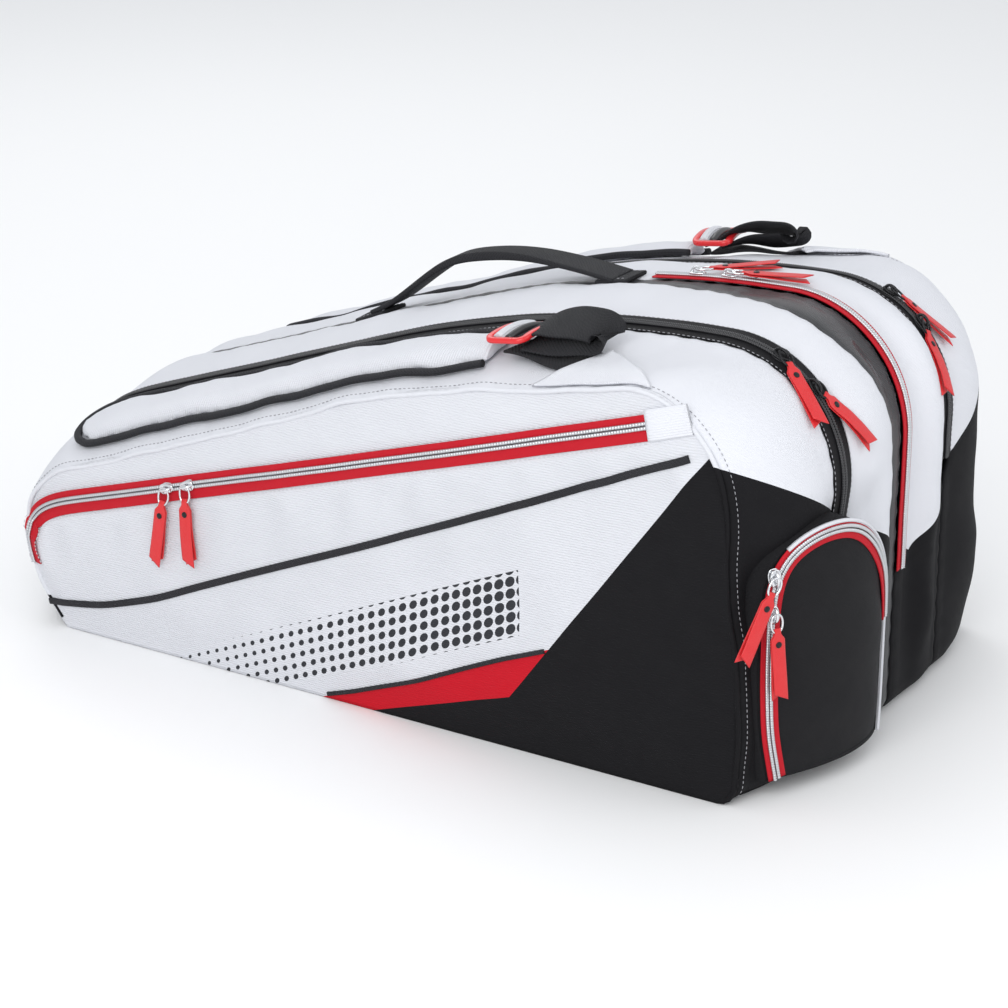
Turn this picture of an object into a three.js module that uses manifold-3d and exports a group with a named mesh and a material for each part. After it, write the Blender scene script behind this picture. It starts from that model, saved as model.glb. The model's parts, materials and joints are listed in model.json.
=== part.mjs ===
// Racket tournament bag: a long soft bag for rackets, wider and higher at its head end (+X) than at its handle end.
// X runs along the bag, -Y is the side with the side pocket, +Z is up, and the floor of the bag is at Z = 0.
import * as THREE from "three";
import { mergeVertices } from "three/addons/utils/BufferGeometryUtils.js";
import Module from "manifold-3d";

const wasm = await Module();
wasm.setup();

// Driving dimensions, in millimetres and degrees
const halfWidth = 216;
const headEndX = 375;
const bagHeight = 356;
const cornerRadius = 107; // where the top turns down into the head end
const crownRadius = 950; // the long arch of the top
const crownAngle = THREE.MathUtils.degToRad(19.5); // slope of the top towards the handle end
const noseRadius = 108; // round handle end
const noseTipX = -402;
const noseHeight = 100;
const heelX = -362; // where the handle end meets the floor
const soleRadius = 18;
const shoulderDrop = 38; // how far the side seams lie below the middle of the top
const endTaper = 28; // how far the ends are drawn in at the sides
const wall = 6; // padded fabric
const gap = 0.4; // between neighbouring pieces
const rimAtNose = 14; // height of the fold between the fixed body and the side flaps
const rimAtHead = 211;
const zipY = 100; // middle line of each racket compartment's zip
const zipTape = 12; // half width of that zip
const tapeThickness = 3;
const bandEdges = [-12, 6]; // mesh band on top
const middleZipEdges = [6, 22];
const middleZipStartX = 140;
const dividerY = 30;
const dividerThickness = 4;
const boardThickness = 3;
const padThickness = 6;
const farPanelThickness = 10;
const sideZipStart = new THREE.Vector2(-352, 116.8);
const sideZipSlope = 0.307;
const sideZipEndX = 250;
const sideZipHalf = 9;
const strapY = 165;
const strapWidth = 62;
const strapEnds = [-350, 98];
const strapPad = 11;
const strapCover = 3;
const buckleLength = 40;
const buckleWidth = 54;
const webbingWidth = 38;
const handleWidth = 36;
const handleFeetX = [-112, 92];
const handleRise = 31;
const handleThickness = 5;
const handleLift = 15; // pivot line above the top of the bag
const handleFootLength = 28;
const pocketFlapThickness = 4;
const pocketZipWidth = 9;
const sliderLength = 15;
const sliderWidth = 9;
const sliderHeight = 4.5;
const sliderLift = 0.9;
const wireRadius = 0.9;
const loopHalfWidth = 7;
const loopLength = 15;
const pullLength = 58;
const pullWidth = 12;
const pullThickness = 3.4;

// Points on the bag's arcs
const cornerX = headEndX - cornerRadius;
const cornerZ = bagHeight - cornerRadius;
const crownCenterZ = bagHeight - crownRadius;
const noseX = noseTipX + noseRadius;

const white = cloth(0xe9eaee, 0.8);
const black = cloth(0x17181b, 0.75);
const mesh = cloth(0x202124, 0.45);
const red = cloth(0xc9161c, 0.5);
const silver = new THREE.MeshStandardMaterial({ color: 0xb9bcc2, roughness: 0.3, metalness: 1 });
const blackMetal = new THREE.MeshStandardMaterial({ color: 0x26272a, roughness: 0.35, metalness: 0.8 });

function cloth(color, roughness) {
  return new THREE.MeshStandardMaterial({ color, roughness, metalness: 0 });
}

// A closed three.js geometry as a solid that can be joined and cut.
function solid(geometry) {
  const bare = geometry.index ? geometry.clone() : geometry;
  for (const name of ["normal", "uv"]) bare.deleteAttribute(name);
  const merged = mergeVertices(bare, 1e-3);
  const vertProperties = new Float32Array(merged.attributes.position.array);
  const triVerts = new Uint32Array(merged.index.array);
  return new wasm.Manifold(new wasm.Mesh({ numProp: 3, vertProperties, triVerts }));
}

function geometryOf(body) {
  const { vertProperties, triVerts } = body.getMesh();
  const geometry = new THREE.BufferGeometry();
  geometry.setAttribute("position", new THREE.BufferAttribute(vertProperties, 3));
  geometry.setIndex(new THREE.BufferAttribute(triVerts, 1));
  return geometry;
}

function join(first, ...others) {
  return others.reduce((body, other) => body.add(other), first);
}

function cut(first, ...others) {
  return others.reduce((body, other) => body.subtract(other), first);
}

function common(first, ...others) {
  return others.reduce((body, other) => body.intersect(other), first);
}

function box([x0, x1], [y0, y1], [z0, z1]) {
  const geometry = new THREE.BoxGeometry(x1 - x0, y1 - y0, z1 - z0);
  return solid(geometry.translate((x0 + x1) / 2, (y0 + y1) / 2, (z0 + z1) / 2));
}

function extruded(shape, depth, steps = 1, curveSegments = 3) {
  return new THREE.ExtrudeGeometry(shape, { depth, steps, curveSegments, bevelEnabled: false });
}

// A shape drawn in X and Z, extruded along Y.
function sideExtrusion(shape, [y0, y1], steps = 1, curveSegments = 3) {
  return extruded(shape, y1 - y0, steps, curveSegments).rotateX(Math.PI / 2).translate(0, y1, 0);
}

// A shape drawn in Y and Z, extruded along X.
function endExtrusion(shape, [x0, x1], curveSegments = 4) {
  const turn = new THREE.Matrix4().makeBasis(
    new THREE.Vector3(0, 1, 0),
    new THREE.Vector3(0, 0, 1),
    new THREE.Vector3(1, 0, 0),
  );
  return extruded(shape, x1 - x0, 1, curveSegments).applyMatrix4(turn).translate(x0, 0, 0);
}

// The bag seen from the side on its middle line, drawn in by an inset.
function bagOutline(inset) {
  const outline = new THREE.Shape();
  outline.moveTo(heelX + inset, inset);
  outline.absarc(headEndX - soleRadius, soleRadius, soleRadius - inset, -Math.PI / 2, 0);
  outline.absarc(cornerX, cornerZ, cornerRadius - inset, 0, Math.PI / 2);
  outline.absarc(cornerX, crownCenterZ, crownRadius - inset, Math.PI / 2, Math.PI / 2 + crownAngle);
  outline.absarc(noseX, noseHeight, noseRadius - inset, Math.PI / 2 + crownAngle, Math.PI);
  outline.quadraticCurveTo(noseTipX + inset, 40, heelX + inset, inset);
  const points = outline.getPoints(3);
  const apart = points.filter((point, i) => i > 0 && point.distanceTo(points[i - 1]) > 0.01);
  return new THREE.Shape(apart);
}

// Lowers the top and draws in the ends towards the sides, so that the bag is rounded across.
function roundAcross(x, y, z) {
  const side = Math.abs(y) / halfWidth;
  const upper = THREE.MathUtils.clamp((z - 80) / 120, 0, 1);
  const end = THREE.MathUtils.clamp(x / 250, -1, 1);
  return new THREE.Vector3(x - endTaper * side ** 4 * end, y, z - shoulderDrop * side ** 1.8 * upper);
}

function layer(inset, [y0, y1], steps = 1) {
  const geometry = sideExtrusion(bagOutline(inset), [y0, y1], steps);
  const position = geometry.attributes.position;
  const point = new THREE.Vector3();
  for (let i = 0; i < position.count; i += 1) {
    point.fromBufferAttribute(position, i);
    const moved = roundAcross(point.x, point.y, point.z);
    position.setXYZ(i, moved.x, moved.y, moved.z);
  }
  return solid(geometry);
}

// A skin that follows the bag's surface between two insets, over a stretch of its width.
function skin(outerInset, innerInset, [y0, y1], steps = 1) {
  const inner = layer(innerInset, [y0 - 1, y1 + 1], steps);
  return cut(layer(outerInset, [y0, y1], steps), inner);
}

// Everything above or below the slanted fold between the body and the flaps.
function rimRegion(above) {
  const slope = (rimAtHead - rimAtNose) / (headEndX - noseTipX);
  const rimAt = (x) => rimAtNose + (x - noseTipX) * slope;
  const far = 700;
  const shift = above ? gap : -gap;
  const shape = new THREE.Shape();
  shape.moveTo(-far, rimAt(-far) + shift);
  shape.lineTo(far, rimAt(far) + shift);
  shape.lineTo(far, above ? far : -far);
  shape.lineTo(-far, above ? far : -far);
  return solid(sideExtrusion(shape, [-far, far]));
}

const aboveRim = rimRegion(true);
const belowRim = rimRegion(false);
const everywhere = [-900, 900];
const shell = cut(layer(0, [-halfWidth, halfWidth], 14), layer(wall, [wall - halfWidth, halfWidth - wall], 13));

function shellStrip([y0, y1]) {
  return common(shell, aboveRim, box(everywhere, [y0 + gap / 2, y1 - gap / 2], everywhere));
}

function zipStrip([y0, y1]) {
  return common(skin(0, tapeThickness, [y0 + gap / 2, y1 - gap / 2]), aboveRim);
}

// The short zip of the middle room, from its start on top of the bag down to the rim.
function middleZip() {
  return common(zipStrip(middleZipEdges), box([middleZipStartX, 900], everywhere, everywhere));
}

// The far middle panel fills the top up to the mesh band behind that zip.
function farCenterPanel() {
  const main = box(everywhere, [middleZipEdges[1] + gap / 2, zipY - zipTape - gap / 2], everywhere);
  const behindZip = box([-900, middleZipStartX - gap], [bandEdges[1] + gap / 2, zipY / 2], everywhere);
  return common(shell, aboveRim, join(main, behindZip));
}

function mirrored(range, side) {
  return side < 0 ? range : [-range[1], -range[0]];
}

function sideFlap(side) {
  return shellStrip(mirrored([-halfWidth - 1, -zipY - zipTape], side));
}

function seamPiping(side) {
  return common(skin(-1, 4, mirrored([-halfWidth - 4, -halfWidth - gap], side)), aboveRim);
}

function divider(y) {
  const panel = layer(wall + 1.5, [y - dividerThickness / 2, y + dividerThickness / 2]);
  return common(panel, box(everywhere, everywhere, [wall + boardThickness + 2 * gap, 900]));
}

function baseBoard() {
  const shape = new THREE.Shape();
  shape.moveTo(-320, -185);
  shape.lineTo(318, -195);
  shape.quadraticCurveTo(340, -120, 340, 0);
  shape.quadraticCurveTo(340, 120, 318, 195);
  shape.lineTo(-320, 185);
  shape.quadraticCurveTo(-340, 0, -320, -185);
  return solid(extruded(shape, boardThickness).translate(0, 0, wall + gap));
}

function sideZipZ(x) {
  return sideZipStart.y + (x - sideZipStart.x) * sideZipSlope;
}

function sideZip() {
  const shape = new THREE.Shape();
  shape.moveTo(sideZipStart.x, sideZipZ(sideZipStart.x) - sideZipHalf);
  shape.lineTo(sideZipEndX, sideZipZ(sideZipEndX) - sideZipHalf);
  shape.lineTo(sideZipEndX, sideZipZ(sideZipEndX) + sideZipHalf);
  shape.lineTo(sideZipStart.x, sideZipZ(sideZipStart.x) + sideZipHalf);
  return solid(sideExtrusion(shape, [-halfWidth - padThickness + 1, -halfWidth - gap]));
}

// The flat pocket under the side zip, a wedge that narrows towards the head end.
function sidePad(side) {
  const top = sideZipHalf + gap;
  const shape = new THREE.Shape();
  shape.moveTo(-348, sideZipZ(-348) - top);
  shape.quadraticCurveTo(-358, 60, -325, 38);
  shape.lineTo(-237, 60);
  shape.lineTo(-125, 98);
  shape.lineTo(sideZipEndX, 261);
  shape.lineTo(sideZipEndX, sideZipZ(sideZipEndX) - top);
  const thickness = side < 0 ? padThickness : farPanelThickness;
  return solid(sideExtrusion(shape, mirrored([-halfWidth - thickness, -halfWidth - gap], side)));
}

function onTop(outerInset, innerInset, yRange, xRange, steps = 1) {
  return common(skin(outerInset, innerInset, yRange, steps), box(xRange, everywhere, [110, 900]));
}

function strapLayer(side, outerInset, innerInset) {
  const yRange = mirrored([-strapY - strapWidth / 2, strapWidth / 2 - strapY], side);
  return onTop(outerInset, innerInset, yRange, strapEnds, 2);
}

// A flat three-bar buckle at the end of the strap, lying on the slope of the bag's top.
function buckle(side) {
  const half = buckleWidth / 2;
  const slots = [6, 23].map((x) => box([x, x + 11], [7 - half, half - 7], [-1, 6]));
  const frame = geometryOf(cut(box([0, buckleLength], [-half, half], [0, 5]), ...slots));
  frame.rotateX(side * -0.15).rotateY(THREE.MathUtils.degToRad(-8));
  return frame.translate(strapEnds[1] + 2, side * strapY, 332);
}

function webbing(side) {
  const yRange = mirrored([-strapY - webbingWidth / 2, webbingWidth / 2 - strapY], side);
  return onTop(-13, -4, yRange, [strapEnds[1] + 47, 214]);
}

function webbingTab(side) {
  return onTop(-3.4, -gap, mirrored([-205, -142], side), [strapEnds[1] + 47, 236], 2);
}

// The sewn-down end of the handle's webbing, just past its pivot.
function handleFoot(index) {
  const outward = index === 0 ? -1 : 1;
  const ends = [handleFeetX[index] + outward * 7, handleFeetX[index] + outward * (7 + handleFootLength)];
  const range = [Math.min(...ends), Math.max(...ends)];
  return onTop(-4.5, -1, [-handleWidth / 2, handleWidth / 2], range, 4);
}

function topAt(x) {
  return crownCenterZ + Math.sqrt(crownRadius ** 2 - (x - cornerX) ** 2);
}

function handlePivots() {
  return handleFeetX.map((x) => new THREE.Vector2(x, topAt(x) + handleLift));
}

// The arch between the two pivots, narrowed at its feet so that it can lean over.
function carryHandle() {
  const [rear, front] = handlePivots();
  const middle = rear.clone().add(front).multiplyScalar(0.5);
  const shape = new THREE.Shape();
  shape.moveTo(rear.x - handleThickness / 2, rear.y);
  shape.quadraticCurveTo(middle.x - 4, middle.y + 2 * handleRise + 8, front.x + handleThickness / 2, front.y);
  shape.lineTo(front.x - handleThickness / 2, front.y);
  shape.quadraticCurveTo(middle.x - 4, middle.y + 2 * handleRise - 4, rear.x + handleThickness / 2, rear.y);
  const arch = solid(sideExtrusion(shape, [-handleWidth / 2, handleWidth / 2], 1, 14));
  const plan = new THREE.Shape();
  const halfNeck = 6;
  const taper = 24;
  plan.moveTo(rear.x - 9, -halfNeck);
  plan.lineTo(rear.x + taper, -handleWidth / 2);
  plan.lineTo(front.x - taper, -handleWidth / 2);
  plan.lineTo(front.x + 9, -halfNeck);
  plan.lineTo(front.x + 9, halfNeck);
  plan.lineTo(front.x - taper, handleWidth / 2);
  plan.lineTo(rear.x + taper, handleWidth / 2);
  plan.lineTo(rear.x - 9, halfNeck);
  return common(arch, solid(extruded(plan, 900)));
}

// The end pocket's front outline: a leg along the near corner, a round top and a slanted far side.
function pocketOutline(inset) {
  const shape = new THREE.Shape();
  shape.moveTo(-200 + inset, 14 + inset);
  shape.lineTo(-44 - inset, 14 + inset);
  shape.lineTo(-44 - inset, 96);
  shape.quadraticCurveTo(-60 - inset, 146 - inset, -134, 214 - inset);
  shape.quadraticCurveTo(-152, 229 - inset, -172, 229 - inset);
  shape.quadraticCurveTo(-200 + inset, 229 - inset, -200 + inset, 196 - inset);
  return solid(endExtrusion(shape, [300, 450]));
}

// A slab whose front follows the pocket's bulge in plan, between two depths behind it.
function pocketSlab(frontDepth, backDepth) {
  const shape = new THREE.Shape();
  shape.moveTo(358 - frontDepth, -203);
  shape.quadraticCurveTo(427 - frontDepth, -100, 387 - frontDepth, -38);
  shape.lineTo(387 - backDepth, -38);
  shape.quadraticCurveTo(427 - backDepth, -100, 358 - backDepth, -203);
  return solid(extruded(shape, 300, 1, 10));
}

function endPocketShell() {
  const ring = cut(pocketOutline(0), pocketOutline(4));
  const clearOfBag = layer(-gap, [-halfWidth - gap, halfWidth + gap], 14);
  return cut(common(pocketSlab(pocketFlapThickness + gap, 60), ring), clearOfBag);
}

function endPocketFlap() {
  return common(pocketSlab(0, pocketFlapThickness), pocketOutline(pocketZipWidth + gap));
}

function endPocketZip() {
  const frame = cut(pocketOutline(0), pocketOutline(pocketZipWidth), box(everywhere, everywhere, [0, 26]));
  return common(pocketSlab(0.5, pocketFlapThickness), frame);
}

// A zip slider: flat body on the coil and an arched bail. Its X runs along the zip and Z stands off the fabric.
function sliderGeometry() {
  const plan = new THREE.Shape();
  plan.moveTo(-sliderLength / 2, -sliderWidth / 4);
  plan.lineTo(-sliderLength / 4, -sliderWidth / 2);
  plan.lineTo(sliderLength / 5, -sliderWidth / 2);
  plan.lineTo(sliderLength / 2, -sliderWidth / 4);
  plan.lineTo(sliderLength / 2, sliderWidth / 4);
  plan.lineTo(sliderLength / 5, sliderWidth / 2);
  plan.lineTo(-sliderLength / 4, sliderWidth / 2);
  plan.lineTo(-sliderLength / 2, sliderWidth / 4);
  const body = solid(extruded(plan, sliderHeight).translate(0, 0, sliderLift));
  const top = sliderLift + sliderHeight;
  const bail = new THREE.Shape();
  bail.moveTo(-6, top - 1);
  bail.lineTo(-5, top + 3);
  bail.lineTo(-3, top + 4.6);
  bail.lineTo(3, top + 4.6);
  bail.lineTo(5, top + 3);
  bail.lineTo(6, top - 1);
  const window = new THREE.Path();
  window.moveTo(-3.4, top);
  window.lineTo(3.4, top);
  window.lineTo(2.6, top + 3);
  window.lineTo(-2.6, top + 3);
  bail.holes.push(window);
  const arch = solid(sideExtrusion(bail, [-1.4, 1.4]));
  return geometryOf(join(body, arch));
}

// A puller: wire loop through the bail, and a doubled leather strip with a rivet. Its X points to the strip's end.
function pullGeometry() {
  const wire = (length) => new THREE.CylinderGeometry(wireRadius, wireRadius, length, 6);
  const across = (x) => solid(wire(2 * loopHalfWidth).translate(x, 0, 0));
  const along = (y) => solid(wire(loopLength + 1).rotateZ(Math.PI / 2).translate(loopLength / 2, y, 0));
  const sides = [-1, 1].map((side) => along(side * (loopHalfWidth - wireRadius)));
  const loop = join(across(0), across(loopLength), ...sides);
  const strip = new THREE.Shape();
  const start = loopLength - 2;
  strip.moveTo(start, -3.5);
  strip.lineTo(start + 7, -3.5);
  strip.lineTo(start + 11, -pullWidth / 2);
  strip.lineTo(start + pullLength, -pullWidth / 2);
  strip.lineTo(start + pullLength - 6, pullWidth / 2);
  strip.lineTo(start + 11, pullWidth / 2);
  strip.lineTo(start + 7, 3.5);
  strip.lineTo(start, 3.5);
  const leather = solid(extruded(strip, pullThickness).translate(0, 0, -pullThickness / 2));
  const rivetShape = new THREE.CylinderGeometry(2.6, 2.6, pullThickness + 1.2, 8).rotateX(Math.PI / 2);
  const rivet = solid(rivetShape.translate(start + 16, 0, 0));
  return geometryOf(join(loop, leather, rivet));
}

const pivotHeight = sliderLift + sliderHeight + 1.5;

// Where each zip's two sliders sit: the point on the surface, the turn of the zip's direction down from +X
// in the XZ plane, the roll of the surface, and how the puller leans and dips from there.
function arcSpot(side, angle, lean) {
  const radians = THREE.MathUtils.degToRad(angle);
  const center = roundAcross(cornerX, side * zipY, cornerZ);
  const point = new THREE.Vector3(cornerRadius * Math.cos(radians), 0, cornerRadius * Math.sin(radians));
  return { point: point.add(center), pitch: 90 - angle, roll: -8 * side, lean: -side * lean, dip: 15 };
}

function middleSpot(angle, lean) {
  const radians = THREE.MathUtils.degToRad(angle);
  const x = cornerX - crownRadius * Math.sin(radians);
  const z = crownCenterZ + crownRadius * Math.cos(radians);
  const y = (middleZipEdges[0] + middleZipEdges[1]) / 2;
  return { point: new THREE.Vector3(x, y, z), pitch: -angle, roll: 0, lean, dip: 4 };
}

const sliderSpots = {
  near_upper: arcSpot(-1, 64, -24),
  near_lower: arcSpot(-1, 45, 24),
  far_upper: arcSpot(1, 64, -24),
  far_lower: arcSpot(1, 45, 24),
  middle_rear: middleSpot(5.4, 38),
  middle_front: middleSpot(3.6, 10),
};

// Turns a group so that its X runs along the zip and its Z stands off the surface.
function seat(spot) {
  const group = new THREE.Group();
  group.position.copy(spot.point);
  group.rotation.order = "YXZ";
  group.rotation.y = THREE.MathUtils.degToRad(spot.pitch);
  group.rotation.x = THREE.MathUtils.degToRad(spot.roll);
  return group;
}

function add(parent, name, geometry, material) {
  const piece = new THREE.Mesh(geometry, material);
  piece.name = name;
  parent.add(piece);
  return piece;
}

function addBody(parent, name, body, material) {
  return add(parent, name, geometryOf(body), material);
}

function addSlider(parent, name, spot, material) {
  const group = seat(spot);
  add(group, name + "_slider", sliderGeometry(), material);
  const pull = add(group, name + "_pull", pullGeometry(), red);
  pull.position.z = pivotHeight;
  pull.rotation.order = "ZYX";
  pull.rotation.z = THREE.MathUtils.degToRad(spot.lean);
  pull.rotation.y = THREE.MathUtils.degToRad(spot.dip);
  parent.add(group);
}

// A slider on the side pocket's zip or on the end pocket's leg, given as axes: along the puller and off the fabric.
function addHangingSlider(parent, name, point, outward, along, lean, dip) {
  const group = new THREE.Group();
  const across = new THREE.Vector3().crossVectors(outward, along);
  group.applyMatrix4(new THREE.Matrix4().makeBasis(along, across, outward).setPosition(point));
  add(group, name + "_slider", sliderGeometry(), silver);
  const pull = add(group, name + "_pull", pullGeometry(), red);
  pull.position.z = pivotHeight;
  pull.rotation.order = "ZYX";
  pull.rotation.z = THREE.MathUtils.degToRad(lean);
  pull.rotation.y = THREE.MathUtils.degToRad(dip);
  parent.add(group);
}

const bag = new THREE.Group();

addBody(bag, "base_tub", common(shell, belowRim), black);
addBody(bag, "base_board", baseBoard(), black);
addBody(bag, "near_divider", divider(-dividerY), black);
addBody(bag, "far_divider", divider(dividerY), black);
addBody(bag, "near_center_panel", shellStrip([zipTape - zipY, bandEdges[0]]), white);
addBody(bag, "center_band", shellStrip(bandEdges), mesh);
addBody(bag, "center_zip", middleZip(), silver);
addBody(bag, "far_center_panel", farCenterPanel(), white);

for (const [name, side] of [["near", -1], ["far", 1]]) {
  addBody(bag, name + "_zip_inner", zipStrip(mirrored([-zipY, zipTape - zipY], side)), black);
  addBody(bag, name + "_zip_outer", zipStrip(mirrored([-zipY - zipTape, -zipY], side)), black);
  addBody(bag, name + "_side_flap", sideFlap(side), white);
  addBody(bag, name + "_seam_piping", seamPiping(side), black);
  addBody(bag, name + "_strap_pad", strapLayer(side, -strapPad, -1), black);
  addBody(bag, name + "_strap_cover", strapLayer(side, -strapPad - strapCover, -strapPad - gap), white);
  add(bag, name + "_buckle", buckle(side), red);
  addBody(bag, name + "_webbing", webbing(side), black);
  addBody(bag, name + "_webbing_tab", webbingTab(side), white);
}

addBody(bag, "near_side_pocket", sidePad(-1), white);
addBody(bag, "near_side_zip", sideZip(), silver);
addBody(bag, "far_side_panel", sidePad(1), white);

addBody(bag, "end_pocket_shell", endPocketShell(), black);
addBody(bag, "end_pocket_flap", endPocketFlap(), black);
addBody(bag, "end_pocket_zip", endPocketZip(), silver);

addBody(bag, "handle_foot_rear", handleFoot(0), black);
addBody(bag, "handle_foot_front", handleFoot(1), black);
addBody(bag, "carry_handle", carryHandle(), black);

for (const [name, spot] of Object.entries(sliderSpots)) {
  addSlider(bag, name, spot, name.startsWith("middle") ? silver : blackMetal);
}

const sideOut = new THREE.Vector3(0, -1, 0);
const sideSurface = -halfWidth - padThickness + 1;
for (const [name, x, lean] of [["side_rear", -206, -9], ["side_front", -184, 4]]) {
  const point = new THREE.Vector3(x, sideSurface, sideZipZ(x));
  addHangingSlider(bag, name, point, sideOut, new THREE.Vector3(0, 0, -1), lean, 3);
}

const legOut = new THREE.Vector3(0.86, -0.51, 0).normalize();
for (const [name, z, lean] of [["end_upper", 194, -26], ["end_lower", 164, 4]]) {
  const point = new THREE.Vector3(362.4, -197, z);
  addHangingSlider(bag, name, point, legOut, new THREE.Vector3(0, 0, -1), lean, 0);
}

export default bag;
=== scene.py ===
import json
import math
import bpy
import numpy as np
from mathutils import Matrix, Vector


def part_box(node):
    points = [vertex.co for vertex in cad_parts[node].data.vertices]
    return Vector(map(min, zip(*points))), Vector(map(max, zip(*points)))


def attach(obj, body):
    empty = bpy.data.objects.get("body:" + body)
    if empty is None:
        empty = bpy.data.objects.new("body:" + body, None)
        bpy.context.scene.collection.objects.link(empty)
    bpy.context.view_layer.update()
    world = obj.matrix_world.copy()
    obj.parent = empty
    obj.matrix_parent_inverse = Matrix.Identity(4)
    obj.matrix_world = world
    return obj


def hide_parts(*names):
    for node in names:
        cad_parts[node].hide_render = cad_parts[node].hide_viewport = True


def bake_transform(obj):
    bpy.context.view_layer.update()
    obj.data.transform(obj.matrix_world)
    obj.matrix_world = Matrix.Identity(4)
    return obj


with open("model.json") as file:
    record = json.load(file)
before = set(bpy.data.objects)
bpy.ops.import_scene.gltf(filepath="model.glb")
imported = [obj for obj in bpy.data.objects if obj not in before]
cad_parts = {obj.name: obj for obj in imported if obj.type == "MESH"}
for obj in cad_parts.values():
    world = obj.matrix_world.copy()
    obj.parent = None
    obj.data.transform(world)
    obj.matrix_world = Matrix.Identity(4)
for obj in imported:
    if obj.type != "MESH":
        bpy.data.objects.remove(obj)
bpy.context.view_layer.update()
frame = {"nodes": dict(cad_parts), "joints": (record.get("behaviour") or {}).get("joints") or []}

# view and light

cameraView = {
    "azimuth": 32.0, "elevation": 21.0, "distance": 2.6, "target": (-0.004, 0.0, 0.1157), "lens": 104.07,
}
lightRig = {
    "key": {"place": (0.7, -2.1, 1.5), "size": 1.6, "power": 30.0},
    "fill": {"place": (2.1, 0.2, 1.3), "size": 1.8, "power": 9.0},
    "rim": {"place": (-1.5, 1.4, 1.9), "size": 1.4, "power": 9.0},
    "top": {"place": (0.0, -0.2, 2.6), "size": 2.4, "power": 2.5},
}
floorColor = (0.90, 0.90, 0.90, 1.0)
floorHalf = 14
worldColor = (0.9, 0.92, 0.95, 1.0)
worldStrength = 0.87
lightTarget = (0, 0, 0.15)


# turns a thing so that its own minus z axis points at the target
def aimAt(thing, target):
    direction = Vector(target) - thing.location
    thing.rotation_euler = direction.to_track_quat("-Z", "Y").to_euler()


# the camera stands at the azimuth and elevation, at the distance from the target
def addCamera():
    azimuth, elevation = (math.radians(cameraView[key]) for key in ("azimuth", "elevation"))
    level = math.cos(elevation)
    back = (math.sin(azimuth) * level, -math.cos(azimuth) * level, math.sin(elevation))
    camera = bpy.data.objects.new("camera", bpy.data.cameras.new("camera"))
    camera.location = [t + cameraView["distance"] * b for t, b in zip(cameraView["target"], back)]
    camera.data.lens = cameraView["lens"]
    bpy.context.collection.objects.link(camera)
    aimAt(camera, cameraView["target"])
    bpy.context.scene.camera = camera


# area lights aimed at one point, in an even pale world
def addLights():
    for name, light in lightRig.items():
        lamp = bpy.data.lights.new(name, "AREA")
        lamp.size = light["size"]
        lamp.energy = light["power"]
        thing = bpy.data.objects.new(name, lamp)
        thing.location = light["place"]
        bpy.context.collection.objects.link(thing)
        aimAt(thing, lightTarget)
    world = bpy.data.worlds.new("studio")
    world.use_nodes = True
    background = world.node_tree.nodes["Background"]
    background.inputs["Color"].default_value = worldColor
    background.inputs["Strength"].default_value = worldStrength
    bpy.context.scene.world = world
    bpy.context.scene.view_settings.view_transform = "Standard"


addCamera()
addLights()
print("camera and lights are up")


# materials

# a value in a material; arithmetic on it adds math nodes
class Wire:
    def __init__(self, look, socket):
        self.look = look
        self.socket = socket

    def __add__(self, other):
        return self.look.maths("ADD", self, other)

    def __mul__(self, other):
        return self.look.maths("MULTIPLY", self, other)

    def __sub__(self, other):
        return self.look.maths("SUBTRACT", self, other)

    def __rsub__(self, other):
        return self.look.maths("SUBTRACT", other, self)

    def __gt__(self, other):
        return self.look.maths("GREATER_THAN", self, other)

    def __lt__(self, other):
        return self.look.maths("LESS_THAN", self, other)

    __radd__ = __add__
    __rmul__ = __mul__


# a material in the making, with short ways to add its nodes
class Look:
    def __init__(self, name):
        self.material = bpy.data.materials.new(name)
        self.material.use_nodes = True
        self.tree = self.material.node_tree
        self.shader = self.tree.nodes["Principled BSDF"]

    def make(self, kind, settings=None, sockets=None, output=0):
        node = self.tree.nodes.new("ShaderNode" + kind)
        for key, value in (settings or {}).items():
            setattr(node, key, value)
        for key, value in (sockets or {}).items():
            self.feed(node.inputs[key], value)
        return Wire(self, node.outputs[output])

    def feed(self, socket, value):
        if isinstance(value, Wire):
            self.tree.links.new(value.socket, socket)
        else:
            socket.default_value = value

    def maths(self, operation, *values):
        return self.make("Math", {"operation": operation}, dict(enumerate(values)))

    def mix(self, factor, first, second):
        return self.make("Mix", {"data_type": "RGBA"}, {0: factor, 6: first, 7: second}, 2)

    def place(self):
        return self.make("TexCoord", output=3)

    def split(self, vector):
        node = self.make("SeparateXYZ", sockets={0: vector}).socket.node
        return [Wire(self, output) for output in node.outputs]

    def noise(self, scale, detail=3.0):
        return self.make("TexNoise", sockets={"Vector": self.place(), "Scale": scale, "Detail": detail})

    def wave(self, distance, pitch):
        return self.maths("SINE", distance * (2 * math.pi / pitch))

    def bump(self, height, depth):
        normal = self.make("Bump", sockets={"Strength": 1.0, "Distance": depth, "Height": height})
        self.feed(self.shader.inputs["Normal"], normal)

    def finish(self, color, roughness, metallic=0.0, **fixed):
        self.feed(self.shader.inputs["Base Color"], color)
        self.feed(self.shader.inputs["Roughness"], roughness)
        self.feed(self.shader.inputs["Metallic"], metallic)
        for key, value in fixed.items():
            self.shader.inputs[key.replace("_", " ")].default_value = value
        return self.material


clothColors = {
    "white": (0.73, 0.74, 0.78, 1.0),
    "black": (0.0035, 0.0032, 0.0045, 1.0),
    "red": (0.52, 0.004, 0.015, 1.0),
    "print": (0.035, 0.037, 0.043, 1.0),
}


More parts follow.
